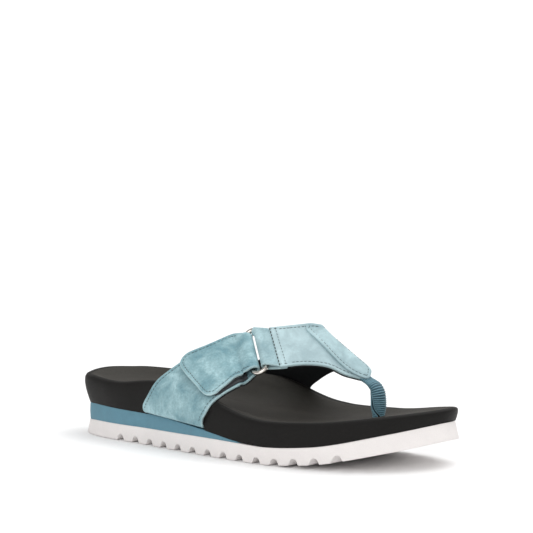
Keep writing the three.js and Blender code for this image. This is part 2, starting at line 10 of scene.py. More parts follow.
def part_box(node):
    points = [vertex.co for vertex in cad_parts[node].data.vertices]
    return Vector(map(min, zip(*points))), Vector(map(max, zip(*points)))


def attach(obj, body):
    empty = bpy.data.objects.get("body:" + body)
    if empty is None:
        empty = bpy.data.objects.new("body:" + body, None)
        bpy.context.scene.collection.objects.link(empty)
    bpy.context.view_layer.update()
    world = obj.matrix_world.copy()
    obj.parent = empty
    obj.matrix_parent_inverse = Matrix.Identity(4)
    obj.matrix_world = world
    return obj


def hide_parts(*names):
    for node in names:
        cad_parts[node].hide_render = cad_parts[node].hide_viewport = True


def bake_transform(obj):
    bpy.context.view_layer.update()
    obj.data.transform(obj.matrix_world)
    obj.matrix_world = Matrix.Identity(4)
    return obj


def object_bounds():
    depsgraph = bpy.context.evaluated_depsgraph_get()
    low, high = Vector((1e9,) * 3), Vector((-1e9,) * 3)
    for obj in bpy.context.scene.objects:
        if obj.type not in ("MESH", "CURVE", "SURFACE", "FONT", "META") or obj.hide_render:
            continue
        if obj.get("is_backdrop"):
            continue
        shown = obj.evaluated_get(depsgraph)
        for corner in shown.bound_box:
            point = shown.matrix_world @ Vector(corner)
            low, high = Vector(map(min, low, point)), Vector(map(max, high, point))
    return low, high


bl_info = {
    "name": "Thong sandal",
    "version": (1, 0, 0),
    "blender": (4, 5, 0),
    "location": "View3D > Sidebar > Sandal",
    "description": "Builds a right-foot thong sandal with a hook-and-loop strap round its packed frame",
    "category": "Object",
}

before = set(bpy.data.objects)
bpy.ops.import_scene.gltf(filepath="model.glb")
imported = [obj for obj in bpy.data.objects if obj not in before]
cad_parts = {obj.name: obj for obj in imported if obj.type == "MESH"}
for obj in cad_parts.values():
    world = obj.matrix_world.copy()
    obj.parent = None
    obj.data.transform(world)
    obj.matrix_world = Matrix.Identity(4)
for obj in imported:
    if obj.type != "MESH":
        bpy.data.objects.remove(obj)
CAD_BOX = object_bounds()

# Shapes are in millimetres from the back of the heel (x = 0), the middle of the heel (y = 0) and the floor
# (z = 0): +X to the toe, +Y to the inner side of the foot. OFFSET takes them to the frame, by the ring.
RING_CENTRE = np.array((138.2, -13.9, 59.0))
OFFSET = 500 * (np.array(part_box("ring")[0]) + np.array(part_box("ring")[1])) - RING_CENTRE

# ---------------------------------------------------------------- sizes and colours


def linear(code):
    """A hex sRGB colour as linear red, green and blue."""
    parts = [int(code[i:i + 2], 16) / 255 for i in (1, 3, 5)]
    return tuple(c / 12.92 if c <= 0.04045 else ((c + 0.055) / 1.055) ** 2.4 for c in parts)


def length(name, description, mm):
    return FloatProperty(name=name, description=description, default=mm / 1000, min=0, precision=5,
                         unit="LENGTH", subtype="DISTANCE")


def colour(name, description, code):
    return FloatVectorProperty(name=name, description=description, default=linear(code), min=0, max=1,
                               size=3, subtype="COLOR")


WIRE = 1.4
STITCH_INSET = 2.1


class SandalSizes(bpy.types.PropertyGroup):
    """Sizes of the sandal's wire, overlay, threads and ribs."""
    wire: length("Wire", "Radius of the ring's wire", WIRE)
    overlay: length("Overlay", "Thickness of the overlay on the vamp", 1.3)
    stitch_inset: length("Stitch inset", "From a cut edge to its row of stitches", STITCH_INSET)
    stitch_pitch: length("Stitch pitch", "From one stitch to the next", 2.3)
    thread: length("Thread", "Radius of the sewing thread", 0.19)
    rib_pitch: length("Rib pitch", "From one rib of the webbing to the next", 1.15)
    rib: length("Rib", "Radius of a rib of the webbing", 0.34)
    seed: IntProperty(name="Seed", description="Seed of the stitches' slight turns", default=7)


class SandalColours(bpy.types.PropertyGroup):
    """Colours of the sandal's materials."""
    suede: colour("Suede", "Middle tone of the suede", "#8AADB4")
    suede_dark: colour("Suede, brushed down", "Darker tone of the suede's clouds", "#7097A1")
    suede_pale: colour("Suede, brushed up", "Paler tone of the suede's clouds", "#A8C9CF")
    # Painted light: the paler, greyer lit suede that a piece's tone mixes its suede towards.
    suede_painted_lit: colour("Suede, faded", "What a piece's tone takes its suede towards", "#BFD2D6")
    suede_edge: colour("Suede edge", "Raw cut edge of the suede", "#B9D3D6")
    midsole: colour("Midsole", "Blue foam of the wedge", "#5E8A9B")
    footbed: colour("Footbed", "Black microfibre of the footbed's wall", "#1A1918")
    # Painted highlight: the paler black that the footbed's top is mixed towards, for the overhead lamp's
    # light on it.
    footbed_painted_top: colour("Footbed top", "Black microfibre where the foot rubs it paler", "#383632")
    outsole: colour("Outsole", "Warm white rubber", "#EEE9E7")
    lining: colour("Lining", "Black lining, and the rubber of the toe post", "#17181A")
    # Painted shade: the ground is darker than the ribs, for the shade between them.
    webbing: colour("Webbing", "Ground of the toe post's webbing, between its ribs", "#2F5463")
    # Painted highlight: the ribs are paler than the ground, for the glint on their yarn; the selvedge cords
    # share their colour.
    rib: colour("Rib", "Ribs and selvedge of the toe post's webbing", "#6F99A7")
    tape: colour("Tape", "Hook tape and loop tape", "#34373A")
    thread: colour("Thread", "Dark grey sewing thread", "#4A5254")
    nickel: colour("Nickel", "Plating of the ring", "#D9D3CC")
    floor: colour("Floor", "Studio floor", "#FBFBFB")


# ---------------------------------------------------------------- curves and profiles

STEP = 0.02  # in rows of a strap, for its normals


def spline(points, closed=False):
    """Centripetal Catmull-Rom curve through points. The function returned takes shares from 0 to 1."""
    knots = np.array(points, float)
    count = len(knots)
    if closed:
        padded = np.vstack([knots[-1:], knots, knots[:2]])
    else:
        padded = np.vstack([2 * knots[:1] - knots[1:2], knots, 2 * knots[-1:] - knots[-2:-1]])

    def at(share):
        share = np.asarray(share, float)
        p = (share % 1 if closed else share.clip(0, 1)) * (count if closed else count - 1)
        i = np.minimum(p.astype(int), count - (1 if closed else 2))
        w = (p - i)[..., None]
        a, b, c, d = (padded[i + k] for k in range(4))
        gap = lambda m, n: (((n - m) ** 2).sum(-1) ** 0.25)[..., None]
        before, here, after = gap(a, b), gap(b, c), gap(c, d)
        here = np.where(here < 1e-4, 1, here)
        before = np.where(before < 1e-4, here, before)
        after = np.where(after < 1e-4, here, after)
        start = ((b - a) / before - (c - a) / (before + here) + (c - b) / here) * here
        end = ((c - b) / here - (d - b) / (here + after) + (d - c) / after) * here
        return (b + start * w + (3 * (c - b) - 2 * start - end) * w**2
                + (2 * (b - c) + start + end) * w**3)

    return at


def profile(*stations):
    """A smooth value along the length, through (x, value) stations, that never overshoots them."""
    x, v = np.array(stations, float).T
    slope = np.diff(v) / np.diff(x)
    product, total = slope[:-1] * slope[1:], slope[:-1] + slope[1:]
    inner = np.where(product > 0, 2 * product / np.where(total == 0, 1, total), 0)
    tangent = np.concatenate([slope[:1], inner, slope[-1:]])

    def at(value):
        value = np.clip(value, x[0], x[-1])
        i = np.clip(np.searchsorted(x, value) - 1, 0, len(x) - 2)
        w = x[i + 1] - x[i]
        k = (value - x[i]) / w
        bend = (1 - k) * tangent[i] * w - k * tangent[i + 1] * w
        return v[i] + (v[i + 1] - v[i]) * k * k * (3 - 2 * k) + k * (1 - k) * bend

    return at


def smooth(value, low, high):
    k = np.clip((value - low) / (high - low), 0, 1)
    return k * k * (3 - 2 * k)


def bell(value, width):
    return np.exp(-((value / width) ** 2))


def mix(a, b, share):
    return a + (b - a) * share


def unit(vectors):
    return vectors / np.maximum(np.linalg.norm(vectors, axis=-1, keepdims=True), 1e-12)


def stack(x, y, z):
    return np.stack(np.broadcast_arrays(x, y, z), -1).astype(float)


# ---------------------------------------------------------------- sole

OUTLINE = [
    (0, 0), (6.5, -17), (30, -28), (70, -33), (109, -40), (144, -45), (175, -47), (205, -44), (230, -34),
    (249, -17), (260, 8), (252.5, 27), (230, 38), (200, 43), (170, 42.5), (139, 35.5), (104.5, 28.5),
    (70, 30), (30, 30.5), (7, 17.5),
]
outline = spline([(x, y, 0) for x, y in OUTLINE], closed=True)
WEDGE_END = 152
GLUE = 0.02

sole_lift = profile((0, 1.2), (14, 0), (165, 0), (200, 2.4), (240, 10.6), (262, 16.4))
outsole_thickness = profile((0, 7), (20, 9), (80, 10), (130, 10.5), (170, 10), (262, 10.6))
wedge_thickness = profile((0, 10.6), (40, 9.4), (80, 8.2), (120, 4.4), (WEDGE_END, 0.7), (168, 0))
lateral_rim = profile((0, 17.8), (40, 16.2), (80, 20.4), (120, 19), (160, 14.9), (200, 13.5), (240, 9.7),
                      (262, 6.4))
medial_rim = profile((0, 18.9), (20, 18.4), (40, 17.9), (80, 21), (120, 24), (160, 15.6), (200, 12.6),
                     (240, 9.2), (262, 6.4))
bed_thickness = profile((0, 14), (40, 12), (80, 11), (160, 10.4), (200, 10.3), (240, 8.6), (262, 6.3))
drawn_in = profile((0, 3.2), (25, 3), (60, 0.8), (95, 0), (215, 0), (245, 1.4), (262, 2.4))
swell = profile((0, 3.3), (40, 2.6), (90, 1), (150, 0.8), (262, 1.4))
foot_out = profile((0, -1.6), (30, -1.4), (90, 0.2), (230, 0.2), (262, 0))
spine_y = profile((36, 1), (105, -6), (170, -2), (222, 4))


def outsole_top(x):
    return sole_lift(x) + outsole_thickness(x)


def wedge_top(x):
    return outsole_top(x) + wedge_thickness(x)


def bed_base(x):
    return wedge_top(x) + 0.3


def rim_height(x, y):
    return mix(lateral_rim(x), medial_rim(x), smooth(y, -12, 12))


class Ring:
    """Points round the outline, which can be grown outwards and shrunk towards the spine."""

    def __init__(self, around):
        share = np.arange(around) / around
        self.edge = outline(share)
        tangent = unit(outline(share + 1e-4) - outline(share - 1e-4))
        self.out = np.stack([tangent[:, 1], -tangent[:, 0]], -1)
        self.spine_x = np.clip(self.edge[:, 0], 36, 222)

    def plan(self, share, grow):
        x, y = (self.edge[:, :2] + self.out * np.reshape(grow, (-1, 1))).T
        px = self.spine_x + (x - self.spine_x) * share
        py = spine_y(self.spine_x) + (y - spine_y(self.spine_x)) * share
        return px, py


def bands(rows, around, closed=False):
    """Faces between each of several rings and the next, and, if closed, from the last to the first."""
    i, j = np.arange(around), (np.arange(around) + 1) % around
    near = [r * around for r in range(rows)]
    far = near[1:] + near[:1] * closed
    return np.vstack([np.stack([a + i, a + j, b + j, b + i], -1) for a, b in zip(near, far)])


def loft(rings):
    """A closed solid through rings of equal length, with its two ends closed across from side to side."""
    rows, around = len(rings), len(rings[0])
    near = np.arange(1, around // 2 - 1)
    lid = np.stack([near, near + 1, around - near - 1, around - near], -1)
    tips = [(0, 1, around - 1), (around // 2 - 1, around // 2, around // 2 + 1)]
    last = (rows - 1) * around
    quads = np.vstack([bands(rows, around), lid[:, ::-1], lid + last]).tolist()
    return np.vstack(rings), quads + [t[::-1] for t in tips] + [[n + last for n in t] for t in tips]


NOTCH_COUNT, NOTCH_FIRST, NOTCH_PITCH = 14, 46.8, 13.1
NOTCH_HALF, NOTCH_DEPTH = 3.7, 3.7


def notch_section():
    """Half a notch of the tread, as distances from its middle and heights."""
    k = np.linspace(0, 1, 12)[:, None]
    parts = [((0, NOTCH_DEPTH), (1.9, NOTCH_DEPTH), (2.5, 1.7)), ((2.5, 1.7), (2.8, 0.4), (NOTCH_HALF, 0))]
    arcs = [(1 - k) ** 2 * np.array(a) + 2 * k * (1 - k) * np.array(b) + k * k * np.array(c)
            for a, b, c in parts]
    return np.vstack([arcs[0], arcs[1][1:]]).T


def tread(x, open_share=1.0):
    """Height of the tread's underside, with its rounded scoops, which close towards the middle."""
    across, height = notch_section()
    number = np.clip(np.round((x - NOTCH_FIRST) / NOTCH_PITCH), 0, NOTCH_COUNT - 1)
    middle = NOTCH_FIRST + number * NOTCH_PITCH
    away = np.abs(x - middle)
    raised = sole_lift(middle) + np.interp(away, across, height) * open_share
    return np.where(away < NOTCH_HALF, np.maximum(raised, sole_lift(x)), sole_lift(x))


def outsole_rings():
    ring = Ring(1800)
    foot = foot_out(ring.edge[:, 0])
    drawn = -drawn_in(ring.edge[:, 0])
    rings = []
    closing = ((0.04, 0), (0.6, 0), (0.74, 0.03), (0.82, 0.2), (0.89, 0.5), (0.95, 0.8), (1, 1))
    for share, depth in closing:
        x, y = ring.plan(share, foot - 0.5)
        rings.append(stack(x, y, tread(x, depth)))
    for grow, rise in ((0.2, 0.08), (0.06, 0.25), (0, 0.5)):
        x, y = ring.plan(1, foot - grow)
        rings.append(stack(x, y, tread(x) + rise))
    for k in (0.15, 0.35, 0.6, 0.85, 1):
        x, y = ring.plan(1, mix(foot, drawn, k))
        rings.append(stack(x, y, mix(tread(x) + 0.5, outsole_top(x) - 0.5, k)))
    for share, grow, drop in ((1, 0.08, 0.22), (1, 0.25, 0.06), (1, 0.5, 0), (0.9, 0.5, 0), (0.04, 0.5, 0)):
        x, y = ring.plan(share, drawn - grow)
        rings.append(stack(x, y, outsole_top(x) - drop))
    return rings


def midsole_rings():
    ring = Ring(720)
    drawn = -drawn_in(ring.edge[:, 0]) - 7 * smooth(ring.edge[:, 0], WEDGE_END - 3, WEDGE_END + 3)
    bottom = lambda x: outsole_top(x) + GLUE
    top = lambda x: np.maximum(wedge_top(x), bottom(x) + 0.1)
    plan = [(0.04, 0, 0), (0.9, 0, 0), (1, 0.25, 0), (1, 0.06, 0.12), (1, 0, 0.3), (1, -0.12, 0.5),
            (1, 0, 0.7), (1, 0.06, 0.88), (1, 0.25, 1), (0.9, 0, 1), (0.04, 0, 1)]
    rings = []
    for share, grow, rise in plan:
        x, y = ring.plan(share, drawn - grow)
        rings.append(stack(x, y, mix(bottom(x), top(x), rise)))
    return rings


# Share of the reach from the spine, share of the wall's bulge, millimetres in, 1 on the wall and 0 on the
# bed, and share of the rise.
BED_SECTION = [
    (1, 0, 0, 1, 0), (1, 0.42, 0, 1, 0.22), (1, 0.84, 0, 1, 0.5), (1, 1, 0, 1, 0.7), (1, 1, 0.1, 1, 0.84),
    (1, 0.93, 0.5, 1, 0.93), (1, 0.82, 1.3, 1, 0.98), (1, 0.7, 2.4, 1, 1), (0.9, 0.3, 0.8, 0.5, 0.97),
    (0.83, 0, 0, 0, 0.9), (0.73, 0, 0, 0, 0.64), (0.6, 0, 0, 0, 0.3), (0.42, 0, 0, 0, 0.06),
    (0.22, 0, 0, 0, 0), (0.04, 0, 0, 0, 0),
]
BED_ROWS = 84
TUCK_ROOM = 0.8  # from the wedge up to a strap's outer face, where the strap turns in under the footbed


def bed_rings(pressed):
    """Rings of the footbed from its base over the rim to its middle, pressed in where a strap is."""
    ring = Ring(720)
    ex, ey = ring.edge[:, 0], ring.edge[:, 1]
    section = spline(BED_SECTION)
    rings = []
    for share in (0.04, 0.5, 0.94):
        x, y = ring.plan(share, -drawn_in(ex))
        rings.append(pressed(stack(x, y, wedge_top(x) + GLUE)))
    for share, bulge, depth, wall, rise in section(np.linspace(0, 1, BED_ROWS)):
        wall, share = np.clip(wall, 0, 1), min(share, 1)
        x, y = ring.plan(share, swell(ex) * bulge - drawn_in(ex) * wall - max(depth, 0))
        bed = bed_thickness(x)
        arch = np.where(y > 0, 3.5 * bell(x - 106, 32) * bell(share - 0.6, 0.28), 0)
        dome = 1.8 * bell(x - 150, 16) * bell(y + 3, 14) * smooth(share, 0.9, 0.6)
        floor = bed_base(x) + bed + (rim_height(x, y) - bed) * rise + arch + dome
        side = wedge_top(ex) + GLUE + (rim_height(ex, ey) + 0.28) * rise
        rings.append(pressed(stack(x, y, mix(floor, side, wall))))
    return rings


# ---------------------------------------------------------------- straps

# At the ring, bar runs along its bars to the toe, pull from the strap to the vamp, and out off the foot.
BAR_SPACING, BAR_LENGTH = 8.8, 27.4
FOLD_ROOM, KEEPER_ROOM = 0.9, 0.15
STRAP_REAR, STRAP_FRONT = -15.5, 14.9
KEEPER_REAR, KEEPER_FRONT = STRAP_REAR - 1.5, STRAP_FRONT + 0.7
BAR_WAY = unit(np.array((0.628, -0.53, -0.57)))
PULL_WAY = np.array((0.777, 0.479, 0.411))
PULL_WAY = unit(PULL_WAY - PULL_WAY @ BAR_WAY * BAR_WAY)
OUT_WAY = np.cross(BAR_WAY, PULL_WAY)
SUEDE, LINING, TAPE = 1.6, 0.8, 0.9
LINING_TOP = -SUEDE - 0.04
LINING_BASE = LINING_TOP - LINING
WRAP = WIRE + FOLD_ROOM


def at_ring(bar, pull, out):
    bar, pull, out = (np.asarray(n, float)[..., None] for n in (bar, pull, out))
    return RING_CENTRE + bar * BAR_WAY + pull * PULL_WAY + out * OUT_WAY


def tuck(x, y, lift):
    return x, y, float(wedge_top(x)) + TUCK_ROOM + lift


def under_bar(bar, back):
    return tuple(at_ring(bar, -BAR_SPACING / 2 - back, -WRAP))


def strap(stations):
    """A strap's outer face, straight from its rear edge to its front edge, as points at (t, u, lift)."""
    rear, front = (spline([row[i] for row in stations]) for i in (0, 1))
    last = len(stations) - 1

    def flat(t, u):
        return mix(rear(t / last), front(t / last), u[..., None])

    def place(t, u, lift=0.0):
        t, u, lift = (np.array(n, float) for n in np.broadcast_arrays(t, u, lift))
        along = flat(np.minimum(t + STEP, last), u) - flat(np.maximum(t - STEP, 0), u)
        across = front(t / last) - rear(t / last)
        return flat(t, u) + unit(np.cross(across, along)) * lift[..., None]

    return place


lateral = strap([
    (tuck(76, -21, 0), tuck(118, -27, 0)),
    (tuck(72, -31.5, 0), tuck(121, -38.5, 0)),
    (tuck(70.6, -35.6, 1), tuck(121.8, -43, 1)),
    (tuck(70.6, -36.9, 4.4), tuck(122.4, -44.5, 4.4)),
    ((75.8, -38.2, 31), (125.3, -45.8, 24)),
    ((81.5, -37, 39.6), (129.3, -44.2, 31)),
    ((87.5, -32.5, 46), (134.3, -39.5, 36.8)),
    ((95.4, -25.8, 53), (139, -34.5, 40.6)),
    ((106, -18.3, 58.6), (141, -32, 42)),
    (under_bar(-20, 7), under_bar(18.4, 7)),
    (under_bar(STRAP_REAR, 0), under_bar(STRAP_FRONT, 0)),
])
STRAP_END = 10.0


def bar_pull(u, rear=STRAP_REAR, front=STRAP_FRONT):
    """How far along the pull the outer bar's wire is, as it turns into the ring's round ends."""
    past = np.maximum(np.abs(mix(rear, front, u)) - BAR_LENGTH / 2, 0)
    return -np.sqrt((BAR_SPACING / 2) ** 2 - past**2)


def outer_strap(t, u, lift=0.0):
    """The lateral strap's face, which meets the fold round the bar exactly where it ends."""
    t, u, lift = np.broadcast_arrays(t, u, lift)
    free = lateral(t, u, lift)
    met = at_ring((free - RING_CENTRE) @ BAR_WAY, bar_pull(u) - (STRAP_END - t) * 7, lift - WRAP)
    return mix(free, met, smooth(t, 9.2, STRAP_END)[..., None])


def fold(k, u, lift=0.0):
    """The strap's turn round the outer bar, from under it (k = 0) to over it (k = 1)."""
    k, u, lift = np.broadcast_arrays(k, u, lift)
    angle = (k - 0.5) * pi
    inside = np.cos(angle) ** 2
    side = mix(STRAP_REAR + inside, STRAP_FRONT - 0.7 * inside, u)
    radius = WRAP + lift
    return at_ring(side, bar_pull(u) * (1 - 0.1 * inside) + radius * np.cos(angle), radius * np.sin(angle))


vamp = strap([
    ((140, -3.7, 72.5), (161, -20.2, 52.8)),
    ((152.5, 1.4, 74.3), (173.2, -10.6, 54.1)),
    ((159, 4.5, 75.2), (182.9, -2, 52.4)),
    ((163, 7.2, 75.6), (191.2, 4.8, 47.4)),
    ((165.5, 10, 74.6), (199.6, 11.6, 45.3)),
    ((164.6, 12.8, 72.6), (198.5, 16, 48.3)),
    ((163, 18, 67.8), (190, 22.5, 50.5)),
    ((155, 24.5, 60.5), (177, 27, 49.8)),
    ((130, 29, 54.5), (162, 32, 46.2)),
    ((103, 31.5, 46.8), (148, 36.4, 39.8)),
    ((93, 35, 38), (138, 39.4, 32.8)),
    ((88, 36, 28.5), (135, 40.5, 24.7)),
    (tuck(87, 34.6, 4.4), tuck(134, 39.6, 4.4)),
    (tuck(86.5, 33.4, 1), tuck(133.5, 38.2, 1)),
    (tuck(86.5, 29.2, 0), tuck(132, 34, 0)),
    (tuck(88, 21, 0), tuck(129, 23.5, 0)),
])
VAMP_END = 15.0
KEEPER_REACH = 0.27


def keeper(k, u, lift=0.0):
    """The band round the inner bar, from its sewn end under the vamp (k = 0) to the seam on top (k = 1)."""
    k, u, lift = np.broadcast_arrays(k, u, lift)
    pull = -bar_pull(u, KEEPER_REAR, KEEPER_FRONT)
    radius = WIRE + KEEPER_ROOM + lift
    rows = [vamp(t, mix(0.02, 0.98, u), -SUEDE - 0.3 - lift) for t in (KEEPER_REACH, 0.16, 0.05)]
    for angle in np.radians(np.linspace(-90, -270, 25)):
        inside = np.cos(angle) ** 2
        side = mix(KEEPER_REAR + 2.4 * inside, KEEPER_FRONT - 1.3 * inside, u)
        rows.append(at_ring(side, pull + radius * np.cos(angle), radius * np.sin(angle)))
    rows.append(vamp(0, mix(0.02, 0.98, u), lift - SUEDE))
    rows = np.array(rows)
    place = k * (len(rows) - 1)
    i = np.minimum(place.astype(int), len(rows) - 2)
    r, c = np.indices(k.shape)
    return mix(rows[i, r, c], rows[i + 1, r, c], (place - i)[..., None])


# ---------------------------------------------------------------- solids from grids

EDGE_STEPS = np.array((0, 0.06, 0.16, 0.3, 0.46, 0.66, 0.9, 1.2, 1.5, 1.8, 2.1, 2.4, 2.8, 3.4, 4.4))


def shares(span, middle):
    """Shares of a span, in millimetres, that lie close together near its two ends."""
    near = EDGE_STEPS / span
    inner = np.linspace(near[-1], 1 - near[-1], middle + 2)[1:-1]
    return np.concatenate([near, inner, 1 - near[::-1]])


def inset_of(points, sides):
    """How far in each point of a grid is from the nearest of the grid's free sides."""
    nearest = np.full(points.shape[:2], 1e3)
    for side in sides:
        turned = side in ("start", "end")
        grid = np.swapaxes(points, 0, 1) if turned else points
        edge = grid[:, :1] if side in ("left", "start") else grid[:, -1:]
        away = np.linalg.norm(np.cross(grid - edge, unit(np.gradient(edge, axis=0))), axis=2)
        nearest = np.minimum(nearest, away.T if turned else away)
    return nearest


def wall_faces(rows, columns):
    """Faces of a closed solid between two grids of points, the first grid's points before the second's."""
    top, base = np.arange(2 * rows * columns).reshape(2, rows, columns)
    quad = lambda a, b, c, d: np.stack([a, b, c, d], -1).reshape(-1, 4)
    border = lambda g: np.concatenate([g[0, :-1], g[:-1, -1], g[-1, :0:-1], g[:0:-1, 0]])
    rim, foot = border(top), border(base)
    return np.vstack([
        quad(top[:-1, :-1], top[:-1, 1:], top[1:, 1:], top[1:, :-1]),
        quad(base[:-1, :-1], base[1:, :-1], base[1:, 1:], base[:-1, 1:]),
        quad(rim, foot, np.roll(foot, -1), np.roll(rim, -1)),
    ])


def seam(place, t, u, inset, inside, lift):
    """The path at an inset from the outline through (t, u) of a strap's face, on the side of inside."""
    delta = 1e-3
    here = place(t, u)
    by_t = (place(t + delta, u) - here) / delta
    by_u = (place(t, u + delta) - here) / delta
    way = unit(np.gradient(here, axis=0))
    across = unit(np.cross(unit(np.cross(by_u, by_t)), way))
    middle = place(mix(t, inside[0], 0.3), mix(u, inside[1], 0.3))
    across *= np.sign(((middle - here) * across).sum())
    basis = np.stack([by_t, by_u], -1)
    change = np.einsum("nij,nj->ni", np.linalg.pinv(basis), across * inset)
    t2, u2 = t + change[:, 0], u + change[:, 1]
    away = np.linalg.norm(place(t2, u2)[:, None] - here[None], axis=2).min(1)
    kept = away > 0.97 * inset
    return place(t2[kept], u2[kept], lift)


def edge_seams(place, rows, inset, lift):
    """The seams along both edges of a strap."""
    return [seam(place, rows, np.full(len(rows), edge), inset, (rows, 0.5), lift) for edge in (0.0, 1.0)]


# ---------------------------------------------------------------- objects


def metres(points):
    return (np.asarray(points, float) + OFFSET) / 1000


def solid(name, points, faces, material, inset=None, tone=0.0):
    """An object with its place in its mesh, its faces outwards and its sharp edges kept. Its tone is painted
    light: it makes its suede paler and greyer, and its footbed's top paler, for the pieces and faces that the
    lamps light most."""
    faces = [list(f) for f in (faces.tolist() if isinstance(faces, np.ndarray) else faces)]
    cut = np.array([(f[0], f[i], f[i + 1]) for f in faces for i in range(1, len(f) - 1)])
    a, b, c = (np.asarray(points)[cut[:, i]] for i in range(3))
    if (a * np.cross(b, c)).sum() < 0:
        faces = [f[::-1] for f in faces]
    mesh = bpy.data.meshes.new(name)
    mesh.from_pydata(metres(points).tolist(), [], faces)
    if inset is not None:
        for label, values in (("inset", inset), ("tone", np.broadcast_to(tone, len(points)))):
            kept = mesh.attributes.new(label, "FLOAT", "POINT")
            kept.data.foreach_set("value", values.astype(np.float32))
    mesh.materials.append(material)
    mesh.shade_smooth()
    mesh.set_sharp_from_angle(angle=radians(50))
    made = bpy.data.objects.new(name, mesh)
    bpy.context.scene.collection.objects.link(made)
    return made


def panel(name, key, place, t, u, low, high, sides, corner=0.5, groove=0.0, tone=0.0, apart=0.0):
    """A closed sheet of suede, lining or tape over a strap's face, between two lifts. Its free edges are
    rounded off, and it is pressed down along the row of stitches. apart is added to each point's inset."""
    near = inset_of(place(t, u, (low + high) / 2), sides)
    off = np.where(near < corner, corner - np.sqrt(np.maximum(corner**2 - (corner - near) ** 2, 0)), 0)
    pressed = groove * (bell(near - STITCH_INSET, 0.55) - 0.35 * bell(near - 0.45 * STITCH_INSET, 0.6))
    top = place(t, u, high - off - pressed)
    base = place(t, u, low + off)
    points = np.concatenate([top.reshape(-1, 3), base.reshape(-1, 3)])
    return solid(name, points, wall_faces(*near.shape), finish(key), np.tile(near.ravel(), 2) + apart, tone)


def placed(made, slot, body, *nodes):
    """A piece that rides on a body and stands for CAD nodes, which it hides. Its slot is not used."""
    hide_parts(*nodes)
    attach(made, body)


def ring_tube(rings, closed=False):
    """A tube through a grid of rings: closed into a loop, or with a face over each end."""
    rows, around = rings.shape[:2]
    faces = bands(rows, around, closed).tolist()
    if not closed:
        lid = np.arange(around)
        faces += [lid[::-1].tolist(), (lid + (rows - 1) * around).tolist()]
    return rings.reshape(-1, 3), faces


def add(tree, kind, sockets=None, **settings):
    """A node of a kind with its settings. Each of its sockets is linked from another node's first output or
    from a socket, or set to a value."""
    made = tree.nodes.new(kind)
    for name, value in settings.items():
        setattr(made, name, value)
    for name, value in (sockets or {}).items():
        if isinstance(value, bpy.types.Node):
            value = value.outputs[0]
        if isinstance(value, bpy.types.NodeSocket):
            tree.links.new(value, made.inputs[name])
        else:
            made.inputs[name].default_value = value
    return made


def geometry_tree(name, inputs):
    """A geometry tree with its named inputs, and its input node's sockets by name."""
    tree = bpy.data.node_groups.new(name, "GeometryNodeTree")
    tree.interface.new_socket("Geometry", in_out="INPUT", socket_type="NodeSocketGeometry")
    for label, kind in inputs.items():
        tree.interface.new_socket(label, in_out="INPUT", socket_type=kind)
    tree.interface.new_socket("Geometry", in_out="OUTPUT", socket_type="NodeSocketGeometry")
    return tree, add(tree, "NodeGroupInput").outputs


def close_tree(tree, instances, material):
    """Ends a geometry tree: instances made real, with their material."""
    real = add(tree, "GeometryNodeRealizeInstances", {"Geometry": instances})
    done = add(tree, "GeometryNodeSetMaterial", {"Geometry": real, "Material": material})
    add(tree, "NodeGroupOutput", {"Geometry": done})


def grown(name, points, edges, tree, values):
    """A plain mesh object: what a geometry tree makes of points and edges."""
    mesh = bpy.data.meshes.new(name)
    mesh.from_pydata(metres(points).tolist(), edges, [])
    made = bpy.data.objects.new(name, mesh)
    bpy.context.scene.collection.objects.link(made)
    modifier = made.modifiers.new(name, "NODES")
    modifier.node_group = tree
    for item in tree.interface.items_tree:
        if item.item_type == "SOCKET" and item.in_out == "INPUT" and item.name in values:
            modifier[item.identifier] = values[item.name]
    shown = made.evaluated_get(bpy.context.evaluated_depsgraph_get())
    plain = bpy.data.meshes.new_from_object(shown)
    made.modifiers.clear()
    made.data = plain
    plain.shade_smooth()
    return made


def stitch_tree():
    """Stitches along paths: a short, slightly turned length of thread at every pitch."""
    tree, given = geometry_tree("Stitches", {
        "Pitch": "NodeSocketFloat", "Thread radius": "NodeSocketFloat", "Drawn share": "NodeSocketFloat",
        "Seed": "NodeSocketInt", "Material": "NodeSocketMaterial"})
    path = add(tree, "GeometryNodeMeshToCurve", {"Mesh": given["Geometry"]})
    spots = add(tree, "GeometryNodeResampleCurve", {"Curve": path, "Length": given["Pitch"]},
                mode="LENGTH")
    way = add(tree, "GeometryNodeInputTangent")
    turn = add(tree, "FunctionNodeAlignRotationToVector", {"Vector": way}, axis="X")
    skew = add(tree, "FunctionNodeRandomValue", {
        "Min": (0, -0.07, -0.1), "Max": (0, 0.07, 0.1), "Seed": given["Seed"]}, data_type="FLOAT_VECTOR")
    skewed = add(tree, "FunctionNodeRotateRotation", {"Rotation": turn, "Rotate By": skew},
                 rotation_space="LOCAL")
    ball = add(tree, "GeometryNodeMeshUVSphere", {"Segments": 8, "Rings": 5, "Radius": 1.0})
    half = add(tree, "ShaderNodeMath", {0: given["Pitch"], 1: 0.5}, operation="MULTIPLY")
    long = add(tree, "ShaderNodeMath", {0: half, 1: given["Drawn share"]}, operation="MULTIPLY")
    size = add(tree, "ShaderNodeCombineXYZ", {
        "X": long, "Y": given["Thread radius"], "Z": given["Thread radius"]})
    laid = add(tree, "GeometryNodeInstanceOnPoints", {
        "Points": spots, "Instance": ball, "Rotation": skewed,
        "Scale": size})
    close_tree(tree, laid, given["Material"])
    return tree


def rib_tree():
    """Ribs of a webbing: a cord along each path."""
    tree, given = geometry_tree("Webbing ribs", {
        "Rib radius": "NodeSocketFloat", "Material": "NodeSocketMaterial"})
    path = add(tree, "GeometryNodeMeshToCurve", {"Mesh": given["Geometry"]})
    cord = add(tree, "GeometryNodeCurvePrimitiveCircle", {"Resolution": 8, "Radius": given["Rib radius"]})
    rib = add(tree, "GeometryNodeCurveToMesh", {
        "Curve": path, "Profile Curve": cord, "Fill Caps": True})
    close_tree(tree, rib, given["Material"])
    return tree


